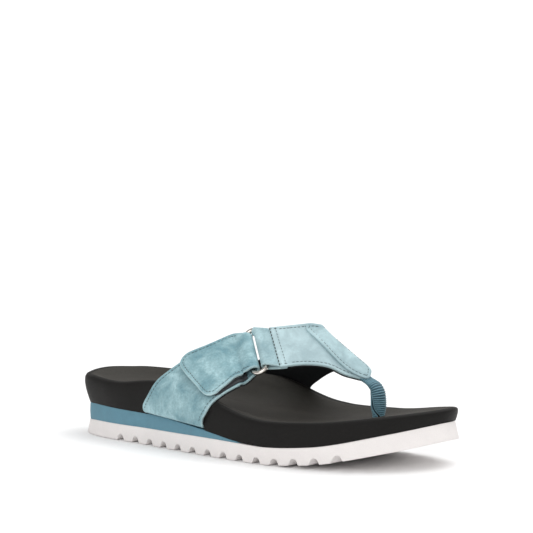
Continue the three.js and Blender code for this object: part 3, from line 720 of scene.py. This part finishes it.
def joined(paths):
    """The points of several paths, and the edges along each."""
    starts = np.cumsum([0] + [len(p) for p in paths])
    return np.vstack(paths), [(i, i + 1) for a, b in zip(starts, starts[1:]) for i in range(a, b - 1)]


def sewn(name, paths, pitch, body, drawn=0.86, radius=None):
    """Stitches along several paths, as one piece."""
    sizes = bpy.context.scene.sandal_sizes
    tree = bpy.data.node_groups.get("Stitches") or stitch_tree()
    made = grown(name, *joined(paths), tree, {
        "Pitch": pitch, "Thread radius": radius or sizes.thread, "Drawn share": drawn, "Seed": sizes.seed,
        "Material": finish("thread")})
    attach(made, body)
    return made


# ---------------------------------------------------------------- materials


def grain(mm):
    """The texture scale whose features are this many millimetres across, in Object coordinates."""
    return 1000 / mm


def started(name):
    """A material, its empty tree and its Object coordinates."""
    made = bpy.data.materials.new(name)
    made.use_nodes = True
    made.node_tree.nodes.clear()
    return made, made.node_tree, add(made.node_tree, "ShaderNodeTexCoord").outputs["Object"]


def rgba(value):
    return (*value, 1.0)


def surfaced(made, base, roughness, height, strength, depth, constants):
    """Ends a material: its shader, with its colour, roughness and bump, whose depth is in metres."""
    tree = made.node_tree
    bump = add(tree, "ShaderNodeBump", {"Height": height, "Strength": strength, "Distance": depth})
    shader = add(tree, "ShaderNodeBsdfPrincipled", {
        "Base Color": base, "Roughness": roughness, "Normal": bump, **constants})
    add(tree, "ShaderNodeOutputMaterial", {"Surface": shader})
    return made


# A Mix node's colour sockets are 6 and 7, and the colour it gives is its output 2.


def nubuck_suede(tones):
    """Nubuck suede: sanded leather with a short nap. Brushed patches a centimetre or two wide catch the
    light differently, the nap is dull and paler at glancing angles, and the raw cut edge is paler."""
    made, tree, place = started("Nubuck suede")
    cloud = add(tree, "ShaderNodeTexNoise", {
        "Vector": place, "Scale": grain(13), "Detail": 3.0, "Roughness": 0.62, "Distortion": 0.5})
    nap = add(tree, "ShaderNodeTexNoise", {
        "Vector": place, "Scale": grain(1.2), "Detail": 4.0, "Roughness": 0.75})
    fibre = add(tree, "ShaderNodeTexNoise", {"Vector": place, "Scale": grain(0.42), "Detail": 2.0})
    patches = add(tree, "ShaderNodeValToRGB", {"Fac": cloud})
    ramp = patches.color_ramp.elements
    ramp[0].position, ramp[0].color = 0.34, rgba(tones.suede_dark)
    ramp[1].position, ramp[1].color = 0.68, rgba(tones.suede_pale)
    ramp.new(0.5).color = rgba(tones.suede)
    level = add(tree, "ShaderNodeMapRange", {
        "Value": nap, "From Min": 0.3, "From Max": 0.7, "To Min": 0.8, "To Max": 1.18})
    shaded = add(tree, "ShaderNodeVectorMath", {0: patches, "Scale": level}, operation="SCALE")
    drift = add(tree, "ShaderNodeMapRange", {
        "Value": cloud, "From Min": 0.32, "From Max": 0.68, "To Min": 0.9, "To Max": 1.12})
    painted_lit = add(tree, "ShaderNodeVectorMath", {0: tones.suede_painted_lit, "Scale": drift}, operation="SCALE")
    # Painted light: a piece's tone mixes its suede towards the lit colour, for the pieces that face the
    # lamps.
    tone = add(tree, "ShaderNodeAttribute", attribute_name="tone")
    painted_lit_mix = add(tree, "ShaderNodeMix", {0: tone.outputs["Fac"], 6: shaded, 7: painted_lit}, data_type="RGBA")
    inset = add(tree, "ShaderNodeAttribute", attribute_name="inset")
    raw = add(tree, "ShaderNodeMapRange", {
        "Value": inset.outputs["Fac"], "From Min": 0.05, "From Max": 0.75, "To Min": 0.75, "To Max": 0.0})
    edged = add(tree, "ShaderNodeMix", {0: raw, 6: painted_lit_mix.outputs[2], 7: rgba(tones.suede_edge)},
                data_type="RGBA")
    dull = add(tree, "ShaderNodeMapRange", {"Value": nap, "To Min": 0.82, "To Max": 1.0})
    height = add(tree, "ShaderNodeMath", {0: fibre, 1: nap}, operation="ADD")
    return surfaced(made, edged.outputs[2], dull, height, 0.4, 0.00025, {
        "Sheen Weight": 0.22, "Sheen Roughness": 0.45, "Sheen Tint": rgba(linear("#E6F2F4")),
        "Specular IOR Level": 0.25})


def microfibre(tones):
    """Embossed black microfibre: small raised cells like leather grain, with a soft low gloss that shows on
    the curves of the bed."""
    made, tree, place = started("Embossed microfibre")
    warp = add(tree, "ShaderNodeTexNoise", {"Vector": place, "Scale": grain(5), "Detail": 2.0})
    bent = add(tree, "ShaderNodeVectorMath", {0: warp.outputs["Color"], "Scale": 0.0012}, operation="SCALE")
    moved = add(tree, "ShaderNodeVectorMath", {0: place, 1: bent}, operation="ADD")
    cells = add(tree, "ShaderNodeTexVoronoi", {"Vector": moved, "Scale": grain(1.15)},
                feature="DISTANCE_TO_EDGE")
    fine = add(tree, "ShaderNodeTexNoise", {"Vector": place, "Scale": grain(0.5), "Detail": 3.0})
    raised = add(tree, "ShaderNodeMapRange", {"Value": cells, "From Max": 0.16, "To Max": 0.8})
    height = add(tree, "ShaderNodeMath", {0: raised, 1: fine}, operation="ADD")
    level = add(tree, "ShaderNodeMapRange", {"Value": height, "From Max": 1.6, "To Min": 0.75, "To Max": 1.2})
    # Painted highlight: the tone mixes the bed's top towards the paler black, for the overhead lamp's light.
    tone = add(tree, "ShaderNodeAttribute", attribute_name="tone")
    base = add(tree, "ShaderNodeMix", {
        0: tone.outputs["Fac"], 6: rgba(tones.footbed), 7: rgba(tones.footbed_painted_top)}, data_type="RGBA")
    tint = add(tree, "ShaderNodeVectorMath", {0: base.outputs[2], "Scale": level}, operation="SCALE")
    gloss = add(tree, "ShaderNodeMapRange", {"Value": fine, "To Min": 0.5, "To Max": 0.68})
    return surfaced(made, tint, gloss, height, 0.35, 0.00015, {
        "Specular IOR Level": 0.12, "Sheen Weight": 0.06, "Sheen Roughness": 0.3,
        "Sheen Tint": rgba(linear("#FFF6EC"))})


def nickel(tones):
    """Nickel-plated steel wire: a bright, slightly warm mirror with fine polishing haze."""
    made, tree, place = started("Nickel-plated steel")
    haze = add(tree, "ShaderNodeTexNoise", {"Vector": place, "Scale": grain(1.2), "Detail": 4.0})
    level = add(tree, "ShaderNodeMapRange", {"Value": haze, "To Min": 0.94, "To Max": 1.04})
    tint = add(tree, "ShaderNodeVectorMath", {0: tones.nickel, "Scale": level}, operation="SCALE")
    gloss = add(tree, "ShaderNodeMapRange", {"Value": haze, "To Min": 0.12, "To Max": 0.24})
    return surfaced(made, tint, gloss, haze, 0.1, 0.00005, {"Metallic": 1.0})


FINISHES = {"suede": nubuck_suede, "footbed": microfibre, "nickel": nickel}

# Material's name, millimetres across its coarse and its fine grain, roughness and how far that varies,
# depth of its bump in metres, share by which its colour is mottled, and its shader's constants.
GRAINED = {
    # Moulded EVA foam: dull and even, with a closed-cell skin.
    "midsole": ("EVA foam", 6, 0.5, 0.72, 0.08, 0.00008, 0.12, {}),
    # Blown rubber: a dull off-white with the fine spark-eroded texture of its mould.
    "outsole": ("Blown rubber", 9, 0.6, 0.8, 0.08, 0.00014, 0.04, {}),
    # Brushed synthetic lining: black and matt.
    "lining": ("Synthetic lining", 3, 0.4, 0.85, 0.1, 0.00015, 0.3, {}),
    # Nylon webbing: satin yarns that glint a little on each rib. Its ground is painted darker, as painted
    # shade between the ribs.
    "webbing": ("Nylon webbing", 2, 0.3, 0.62, 0.1, 0.00018, 0.25, {"Sheen Weight": 0.15}),
    # Painted highlight: the ribs are paler than the ground, for the glint on their yarn; the selvedge cords
    # share their colour.
    "rib": ("Nylon webbing rib", 2, 0.3, 0.55, 0.1, 0.00012, 0.2, {"Sheen Weight": 0.1}),
    # Nylon hook-and-loop tape: a felt of fine loops, dark grey and matt.
    "tape": ("Nylon hook-and-loop tape", 1.2, 0.35, 0.8, 0.1, 0.0004, 0.6, {}),
    # Spun polyester thread: dark and dull.
    "thread": ("Polyester thread", 1, 0.15, 0.75, 0.1, 0.0001, 0.3, {}),
    # Matt studio paper.
    "floor": ("Studio floor", 400, 30, 0.9, 0.05, 0.00001, 0.01, {"Specular IOR Level": 0.1}),
}


def grained(base, name, coarse, fine, roughness, spread, depth, mottle, constants):
    """A moulded, spun or woven surface: two sizes of grain mottle its one colour, its gloss and its bump."""
    made, tree, place = started(name)
    big = add(tree, "ShaderNodeTexNoise", {"Vector": place, "Scale": grain(coarse), "Detail": 4.0})
    small = add(tree, "ShaderNodeTexNoise", {"Vector": place, "Scale": grain(fine), "Detail": 3.0})
    both = add(tree, "ShaderNodeMath", {0: big, 1: small}, operation="ADD")
    level, gloss = (
        add(tree, "ShaderNodeMapRange", {
            "Value": both, "From Min": 0.6, "From Max": 1.4, "To Min": middle - reach,
            "To Max": middle + reach})
        for middle, reach in ((1, mottle), (roughness, spread)))
    tint = add(tree, "ShaderNodeVectorMath", {0: base, "Scale": level}, operation="SCALE")
    return surfaced(made, tint, gloss, small, 0.5, depth, constants)


def finish(key):
    """The material with this key, made on first use."""
    scene, label = bpy.context.scene, "finish_" + key
    if label not in scene:
        tones = scene.sandal_colours
        made = FINISHES[key](tones) if key in FINISHES else grained(getattr(tones, key), *GRAINED[key])
        scene[label] = made
    return scene[label]


# ---------------------------------------------------------------- operators


class SANDAL_OT_sole(bpy.types.Operator):
    """Make the notched outsole and the wedge midsole"""
    bl_idname = "sandal.sole"
    bl_label = "Sole"

    def execute(self, context):
        outsole = solid("outsole_rubber", *loft(outsole_rings()), finish("outsole"))
        placed(outsole, "outsole", "sandal", "outsole")
        midsole = solid("midsole_foam", *loft(midsole_rings()), finish("midsole"))
        placed(midsole, "midsole", "sandal", "midsole_wedge")
        return {"FINISHED"}


EDGES = ("left", "right")
PRESS_GAP = 0.15  # from a strap's lining to the footbed's wall


def strap_faces(place, rows):
    """A strap's inner face, under its lining, as a tree to cast rays at."""
    t, u = np.meshgrid(rows, np.linspace(-0.004, 1.004, 24), indexing="ij")
    points = place(t, u, -SUEDE - LINING - 0.1)
    index = np.arange(t.size).reshape(t.shape)
    faces = np.stack([index[:-1, :-1], index[:-1, 1:], index[1:, 1:], index[1:, :-1]], -1).reshape(-1, 4)
    return BVHTree.FromPolygons(points.reshape(-1, 3).tolist(), faces.tolist())


class SANDAL_OT_footbed(bpy.types.Operator):
    """Make the contoured footbed, pressed in where the straps pass it"""
    bl_idname = "sandal.footbed"
    bl_label = "Footbed"

    def execute(self, context):
        outer = strap_faces(outer_strap, np.linspace(2.4, 5.5, 40))
        inner = strap_faces(vamp, np.linspace(9.5, 13.6, 40))
        sides = ((outer, -1, 70.4, 122.4), (inner, 1, 86.6, 134.1))

        def pressed(points):
            for face, way, rear, front in sides:
                x, y, z = points.T
                window = smooth(x, rear - 0.3, rear + 0.3) * smooth(x, front + 0.3, front - 0.3)
                beside = smooth(y * way, 16, 19)
                floor = wedge_top(x) + TUCK_ROOM + SUEDE + LINING + 0.5
                points[:, 2] = np.maximum(z, mix(wedge_top(x) + GLUE, floor, window * beside))
                for i in np.flatnonzero((y * way > 20) & (x > rear - 8) & (x < front + 8)):
                    hit = face.ray_cast((x[i], way * 12.0, z[i]), (0, way, 0), 60)[0]
                    if hit is not None and y[i] * way > hit[1] * way - PRESS_GAP:
                        points[i, 1] = hit[1] - PRESS_GAP * way
            return points

        points, faces = loft(bed_rings(pressed))
        # Painted highlight: the bed's top, away from its wall, gets a tone of 1, which paints it paler.
        wall = spline(BED_SECTION)(np.linspace(0, 1, BED_ROWS))[:, 3]
        painted_top_light = np.repeat(np.concatenate([[0, 0, 0], 1 - wall.clip(0, 1)]), len(points) // (BED_ROWS + 3))
        made = solid("footbed", points, faces, finish("footbed"), np.zeros(len(points)), painted_top_light)
        placed(made, "footbed_cover", "sandal", "footbed_cover", "footbed_core")
        return {"FINISHED"}


def grid(rows, width, middle):
    """A grid of rows with places across a width, in millimetres, that lie close together near its edges."""
    return np.meshgrid(rows, shares(width, middle), indexing="ij")


SUNK = -0.14  # a stitch's middle, from the face that it is drawn into

# Heights of the tapes and of the tab over the lateral strap.
LAYER_1 = 0.1
LAYER_2 = LAYER_1 + TAPE + 0.1
LAYER_3 = LAYER_2 + TAPE + 0.1
OVER_BAR = 2 * WRAP


class SANDAL_OT_lateral_strap(bpy.types.Operator):
    """Make the lateral strap, its lining and its rows of stitches"""
    bl_idname = "sandal.lateral_strap"
    bl_label = "Lateral strap"

    def execute(self, context):
        sizes = context.scene.sandal_sizes
        t, u = grid(np.linspace(0, STRAP_END, 240), 46, 16)
        # A tone of 0.05: a trace of painted light.
        made = panel("lateral_suede", "suede", outer_strap, t, u, -SUEDE, 0, EDGES, 0.55, 0.22, tone=0.05)
        placed(made, "suede", "sandal", "lateral_strap")
        under = panel("lateral_suede_lining", "lining", outer_strap, t, mix(-0.004, 1.004, u), LINING_BASE,
                      LINING_TOP, EDGES, 0.3)
        placed(under, "lining", "sandal", "lateral_strap_lining")
        paths = edge_seams(outer_strap, np.linspace(3.0, 9.7, 400), sizes.stitch_inset * 1000, -0.16)
        sewn("lateral_stitches", paths, sizes.stitch_pitch, "sandal")
        return {"FINISHED"}


TAB_REAR_END, TAB_FRONT_END = 6.6, 5.1
TAB_CORNER, TAB_CORNER_ROWS = 0.18, 0.75


def tab_start(u):
    """The row of the tab's free end, with its two rounded corners."""
    near = np.maximum(0, 1 - np.minimum(u, 1 - u) / TAB_CORNER)
    corner = TAB_CORNER_ROWS * (1 - np.sqrt(np.maximum(1 - near**2, 0)))
    return mix(TAB_REAR_END, TAB_FRONT_END, u) + corner


def waist(t):
    """The share of its width that the tab gives up at its front edge, a little before the ring."""
    return 0.11 * smooth(t, 5.2, 8.8) * smooth(t, STRAP_END, 8.9)


def tab_face(t, u, lift=0.0):
    """The tab's outer face, which rises from the tapes to pass over the bar."""
    t, u, lift = np.broadcast_arrays(t, u, lift)
    rise = mix(LAYER_3, OVER_BAR, smooth(t, 8.2, STRAP_END)) + SUEDE
    return outer_strap(t, u * (1 - waist(t)), rise + lift)


class SANDAL_OT_closure(bpy.types.Operator):
    """Make the closure tab, its turn round the ring and the hook and loop tapes"""
    bl_idname = "sandal.closure"
    bl_label = "Closure tab"

    def execute(self, context):
        sizes = context.scene.sandal_sizes
        k, u = grid(shares(44, 30)[:-8], 38, 16)
        k[-1] = 1
        t = mix(tab_start(u), STRAP_END, k)
        tab = panel("tab_suede", "suede", tab_face, t, u, -SUEDE, 0, (*EDGES, "start"), 0.55, 0.2)
        placed(tab, "suede", "tab", "closure_tab")

        k, u = grid(np.linspace(0, 1, 41), 38, 16)
        turn = panel("strap_turn", "suede", fold, k, u, 0, SUEDE, EDGES, 0.55)
        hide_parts("strap_fold")
        ends = [metres(at_ring(0, -BAR_SPACING / 2, out)) for out in (-WRAP, WRAP)]
        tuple(ends[0])
        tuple(ends[1])
        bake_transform(turn)

        # A tape's height, how far from the tab's end it starts, its last row and its share of the waist.
        for name, node, low, inside, to, slim, body in (
            ("loop_band", "loop_tape", LAYER_1, 0.22, 9.4, 0.2, "sandal"),
            ("hook_band", "hook_tape", LAYER_2, 0.2, 8.8, 0.8, "tab"),
        ):
            k, u = grid(np.linspace(0, 1, 60), 34, 12)
            u = mix(0.02, 0.992, u)
            t = mix(tab_start(u) + inside, to, k)
            u = u * (1 - slim * waist(t))
            band = panel(name, "tape", outer_strap, t, u, low, low + TAPE, (*EDGES, "start", "end"), 0.2)
            placed(band, "hook_loop", body, node)

        count, near_ring = 300, 9.75
        across = 0.5 - 0.5 * np.cos(pi * np.linspace(0, 1, count))
        round_end = np.concatenate([np.full(count, 0.0), across, np.full(count, 1.0)])
        along = np.concatenate([
            np.linspace(near_ring, tab_start(0.0), count), tab_start(across),
            np.linspace(tab_start(1.0), near_ring, count)])
        kept = np.concatenate([[True], np.diff(along) ** 2 + np.diff(round_end) ** 2 > 1e-12])
        path = seam(tab_face, along[kept], round_end[kept], sizes.stitch_inset * 1000, (9.0, 0.5), SUNK)
        sewn("tab_stitches", [path], sizes.stitch_pitch, "tab")
        return {"FINISHED"}


class SANDAL_OT_ring(bpy.types.Operator):
    """Make the oval wire ring"""
    bl_idname = "sandal.ring"
    bl_label = "Ring"

    def execute(self, context):
        wire = context.scene.sandal_sizes.wire * 1000
        r = BAR_SPACING / 2
        turn = np.linspace(0, pi, 41)[1:-1]
        bar = np.linspace(-BAR_LENGTH / 2, BAR_LENGTH / 2, 40)
        half = np.concatenate([
            np.stack([bar, np.full(40, -r)], -1),
            np.stack([BAR_LENGTH / 2 + r * np.sin(turn), -r * np.cos(turn)], -1)])
        track = np.concatenate([half, -half])
        path = at_ring(track[:, 0], track[:, 1], 0)
        across = np.cross(unit(np.roll(path, -1, 0) - np.roll(path, 1, 0)), OUT_WAY)[:, None]
        turn = np.linspace(0, 2 * pi, 25)[:-1, None]
        points, faces = ring_tube(
            path[:, None] + wire * (across * np.cos(turn) + OUT_WAY * np.sin(turn)), closed=True)
        placed(solid("wire_ring", points, faces, finish("nickel")), "ring_metal", "ring_body", "ring")
        return {"FINISHED"}


OVERLAY_REAR, OVERLAY_FRONT, OVERLAY_ROUND = 0.03, 1.01, 0.15
KEEPER_PITCH, KEEPER_THREAD = 0.0027, 0.00036  # the keeper's seam, in heavier thread: metres
overlay_left = profile((0, 1.75), (0.2, 1.95), (0.45, 2.4), (0.7, 2.75), (1, 3.4))
overlay_right = profile((0, 5.4), (0.5, 5.4), (1, 5.6))


def overlay_sides(k):
    near = np.maximum(0, 1 - np.minimum(k, 1 - k) / OVERLAY_ROUND)
    share = 0.4 + 0.6 * np.sqrt(np.maximum(1 - near**2, 0))
    middle = (overlay_left(k) + overlay_right(k)) / 2
    half = (overlay_right(k) - overlay_left(k)) / 2 * share
    return middle - half, middle + half


def vamp_face(t, u, lift=0.0):
    """The vamp's outer face, drawn back at its tip where the toe post comes out."""
    t, u, lift = np.broadcast_arrays(t, u, lift)
    return vamp(t, u * (1 - 0.2 * smooth(t, 3.8, 4.0) * smooth(t, 5.7, 5.3)), lift)


class SANDAL_OT_vamp(bpy.types.Operator):
    """Make the vamp with its lining, overlay and keeper, and their rows of stitches"""
    bl_idname = "sandal.vamp"
    bl_label = "Vamp"

    def execute(self, context):
        sizes = context.scene.sandal_sizes
        t, u = grid(np.concatenate([EDGE_STEPS[:9] / 14, np.linspace(0.14, VAMP_END, 360)]), 33, 16)
        # A tone of 0.65: painted light on the vamp, which faces the lamps.
        made = panel("vamp_suede", "suede", vamp_face, t, u, -SUEDE, 0, (*EDGES, "start"), 0.5, 0.2, 0.65)
        placed(made, "suede", "sandal", "vamp")
        t, u = grid(np.linspace(KEEPER_REACH + 0.1, VAMP_END, 300), 33, 16)
        under = panel("vamp_lining_sheet", "lining", vamp_face, t, mix(-0.006, 1.006, u), LINING_BASE,
                      LINING_TOP, EDGES, 0.3)
        placed(under, "lining", "sandal", "vamp_lining")
        k, u = grid(np.linspace(0, 1, 121), 28, 12)
        # A tone of 0.3: painted light on the keeper.
        loop = panel("keeper_suede", "suede", keeper, k, u, 0, SUEDE, (*EDGES, "end"), tone=0.3)
        placed(loop, "suede", "sandal", "ring_keeper")
        k, across = grid(shares(44, 30), 26, 14)
        left, right = overlay_sides(k)
        t, u = mix(left, right, across), mix(OVERLAY_REAR, OVERLAY_FRONT, k)
        high = sizes.overlay * 1000 + 0.1
        # A tone of 0.5: painted light on the overlay.
        over = panel("overlay_suede", "suede", vamp, t, u, 0.1, high, (*EDGES, "start", "end"), 0.4, 0.2,
                     tone=0.5, apart=1)
        placed(over, "suede", "sandal", "overlay")

        inset_mm = sizes.stitch_inset * 1000
        paths = edge_seams(vamp_face, np.linspace(0.5, 12.2, 900), inset_mm, SUNK)
        k = np.concatenate([[0], 0.5 - 0.5 * np.cos(pi * np.linspace(0, 1, 400)), [1]])
        left, right = overlay_sides(k)
        middle = (left + right) / 2
        loop_t = np.concatenate([[middle[0]], left, [middle[-1]], right[::-1], [middle[0]]])
        loop_u = mix(OVERLAY_REAR, OVERLAY_FRONT, np.concatenate([[0], k, [1], k[::-1], [0]]))
        path = seam(vamp, loop_t, loop_u, inset_mm * 0.9, (4.0, 0.5), high + SUNK)
        paths.append(np.vstack([path, path[:1]]))
        box_end, box_sides = 0.24, (0.05, 0.95)  # the box of stitches beside the keeper's seam
        u = np.linspace(*box_sides, 120)
        paths.append(vamp(box_end, u, -0.02))
        paths += [vamp(np.linspace(0.04, box_end, 20), side, -0.02) for side in box_sides]
        sewn("vamp_stitches", paths, sizes.stitch_pitch, "sandal")
        sewn("keeper_stitches", [vamp(0.0, u, 0.02)], KEEPER_PITCH, "sandal", 0.72, KEEPER_THREAD)
        return {"FINISHED"}


POST_PATH = [(194.2, 13.4, 47.2), (197.6, 13.6, 44.8), (201.2, 13.8, 42.9), (204.5, 13.6, 40.4),
             (206, 13.5, 36.6), (206.2, 13.6, 32), (206.1, 13.8, 26), (206, 14, 17.7)]
POST_WALL, SELVEDGE = 1.0, 0.045
# By height: the webbing's half width and half thickness, and where the slit between its edges faces, in
# degrees from straight ahead, with its half width.
post_side = profile((17, 3), (24, 3.3), (31, 4.4), (50, 4.4))
post_fore = profile((17, 3), (24, 3.3), (31, 4.2), (37, 4), (41, 2.8), (44, 1.6), (50, 1.5))
slit_way = profile((18, 30), (24.2, 47), (27, 84), (28.9, 101), (33.5, 115), (38, 130), (48, 142))
slit_half = profile((24.5, 12), (30, 11), (35, 11), (39, 9), (48, 8))
post_path = spline(POST_PATH)


def post_point(at, angle, lift):
    """A point of the toe post at a share of its path and an angle in degrees round it, off its surface."""
    at, angle = np.broadcast_arrays(at, angle)
    centre = post_path(at)
    along = unit(post_path(np.minimum(at + 1e-3, 1)) - post_path(np.maximum(at - 1e-3, 0)))
    side = unit(np.array((0, 1, 0)) - along * along[..., 1:2])
    z, turn = centre[..., 2], np.radians(angle)
    fore_reach, side_reach = (post_fore(z) + lift) * np.cos(turn), (post_side(z) + lift) * -np.sin(turn)
    return centre + np.cross(along, side) * fore_reach[..., None] + side * side_reach[..., None]


def webbing(at, share, lift=0.0):
    """The webbing's face, round the post from one side of its slit to the other."""
    z = post_path(at)[..., 2]
    start, sweep = slit_way(z) + slit_half(z), 360 - 2 * slit_half(z)
    return post_point(at, start + sweep * share, lift)


class SANDAL_OT_toe_post(bpy.types.Operator):
    """Make the ribbed webbing round the toe post, and the post's rubber core and anchor"""
    bl_idname = "sandal.toe_post"
    bl_label = "Toe post"

    def execute(self, context):
        sizes = context.scene.sandal_sizes
        k, u = grid(np.linspace(0, 1, 120), 24, 40)
        sleeve = panel("post_webbing", "webbing", webbing, k, u, -POST_WALL, 0, EDGES, 0.3)
        placed(sleeve, "webbing", "sandal", "toe_post_webbing")

        at = np.linspace(0, 1, 600)
        run = np.concatenate([[0], np.cumsum(np.linalg.norm(np.diff(post_path(at), axis=0), axis=1))])
        pitch = sizes.rib_pitch * 1000
        across = np.linspace(SELVEDGE, 1 - SELVEDGE, 49)
        paths = [webbing(np.full(49, n), across, 0.05)
                 for n in np.interp(np.arange(pitch / 2, run[-1], pitch), run, at)]
        paths += [webbing(at, np.full(600, edge), -0.1) for edge in (SELVEDGE * 0.4, 1 - SELVEDGE * 0.4)]
        ribs = grown("post_ribs", *joined(paths), rib_tree(), {
            "Rib radius": sizes.rib, "Material": finish("rib")})
        placed(ribs, "webbing", "sandal")

        k, angle = np.meshgrid(np.linspace(0.3, 1, 60), np.arange(0, 360, 12), indexing="ij")
        points, faces = ring_tube(post_point(k, angle, -POST_WALL - 0.35))
        placed(solid("post_core", points, faces, finish("lining")), "post_core", "sandal", "toe_post_core")
        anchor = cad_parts["toe_post_anchor"].data.materials
        anchor.clear()
        anchor.append(finish("lining"))
        return {"FINISHED"}


AIM = np.array((130.0, 0.0, 25.0))  # the camera is placed by this point of the sandal
VIEW_AZIMUTH, VIEW_ELEVATION, VIEW_DISTANCE = radians(38.7), radians(8.0), 1500.0
FOCAL = 172.2  # for a 36 mm sensor
CENTRE_RIGHT, CENTRE_UP = 0.002627, 0.054588  # the middle of the view, from AIM, as slopes


class SANDAL_OT_stage(bpy.types.Operator):
    """Make the pale floor, the soft studio light and the camera"""
    bl_idname = "sandal.stage"
    bl_label = "Studio"

    def execute(self, context):
        scene = context.scene
        mesh = bpy.data.meshes.new("studio_floor")
        corners = [(x, y, -0.0002) for x, y in ((-20, -20), (20, -20), (20, 20), (-20, 20))]
        mesh.from_pydata(corners, [], [(0, 1, 2, 3)])
        mesh.materials.append(finish("floor"))
        floor = bpy.data.objects.new("studio_floor", mesh)
        scene.collection.objects.link(floor)
        floor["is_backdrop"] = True

        world = bpy.data.worlds.new("Studio")
        scene.world = world
        world.use_nodes = True
        tree = world.node_tree
        tree.nodes.clear()
        seen = add(tree, "ShaderNodeLightPath")
        strength = add(tree, "ShaderNodeMapRange", {
            "Value": seen.outputs["Is Camera Ray"], "To Min": 0.45, "To Max": 1.1})
        back = add(tree, "ShaderNodeBackground", {"Color": (1, 1, 1, 1), "Strength": strength})
        add(tree, "ShaderNodeOutputWorld", {"Surface": back})

        for name, way, energy, spread in (
            ("overhead", (0.1, 0.3, 1), 2.0, 60),
            ("outer side", (0.35, -0.9, 0.6), 0.9, 50),
        ):
            light = bpy.data.lights.new(name, "SUN")
            light.energy, light.angle = energy, radians(spread)
            lamp = bpy.data.objects.new(name, light)
            lamp.rotation_euler = Vector(way).to_track_quat("Z", "Y").to_euler()
            scene.collection.objects.link(lamp)

        a, e = VIEW_AZIMUTH, VIEW_ELEVATION
        back_way = np.array((np.sin(a) * np.cos(e), -np.cos(a) * np.cos(e), np.sin(e)))
        right = np.array((np.cos(a), np.sin(a), 0))
        up = np.cross(back_way, right)
        camera = bpy.data.objects.new("camera", bpy.data.cameras.new("camera"))
        camera.location = metres(AIM + VIEW_DISTANCE * back_way)
        ahead = Vector(-back_way + right * CENTRE_RIGHT + up * CENTRE_UP)
        camera.rotation_euler = ahead.to_track_quat("-Z", "Y").to_euler()
        camera.data.lens, camera.data.sensor_width = FOCAL, 36
        camera.data.clip_start, camera.data.clip_end = 0.01, 100
        scene.collection.objects.link(camera)
        scene.camera = camera
        scene.view_settings.view_transform = "Standard"
        return {"FINISHED"}


OPERATORS = (SANDAL_OT_sole, SANDAL_OT_footbed, SANDAL_OT_lateral_strap, SANDAL_OT_closure, SANDAL_OT_ring,
             SANDAL_OT_vamp, SANDAL_OT_toe_post, SANDAL_OT_stage)


class SANDAL_PT_build(bpy.types.Panel):
    """The sandal's sizes and colours, and a button for each group of pieces"""
    bl_idname = "SANDAL_PT_build"
    bl_label = "Thong sandal"
    bl_space_type = "VIEW_3D"
    bl_region_type = "UI"
    bl_category = "Sandal"

    def draw(self, context):
        for group in (context.scene.sandal_sizes, context.scene.sandal_colours):
            for name in group.bl_rna.properties.keys():
                if name not in ("rna_type", "name"):
                    self.layout.prop(group, name)
        for kind in OPERATORS:
            self.layout.operator(kind.bl_idname)


CLASSES = (SandalSizes, SandalColours, *OPERATORS, SANDAL_PT_build)


def register():
    for kind in CLASSES:
        bpy.utils.register_class(kind)
    bpy.types.Scene.sandal_sizes = PointerProperty(type=SandalSizes)
    bpy.types.Scene.sandal_colours = PointerProperty(type=SandalColours)


def unregister():
    del bpy.types.Scene.sandal_colours
    del bpy.types.Scene.sandal_sizes
    for kind in reversed(CLASSES):
        bpy.utils.unregister_class(kind)


def main():
    register()
    for kind in OPERATORS:
        group, name = kind.bl_idname.split(".")
        getattr(getattr(bpy.ops, group), name)()
    boxes = (("cad", CAD_BOX), ("visual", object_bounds()))
    sizes = {name: [list(corner) for corner in box] for name, box in boxes}


if __name__ == "__main__":
    main()
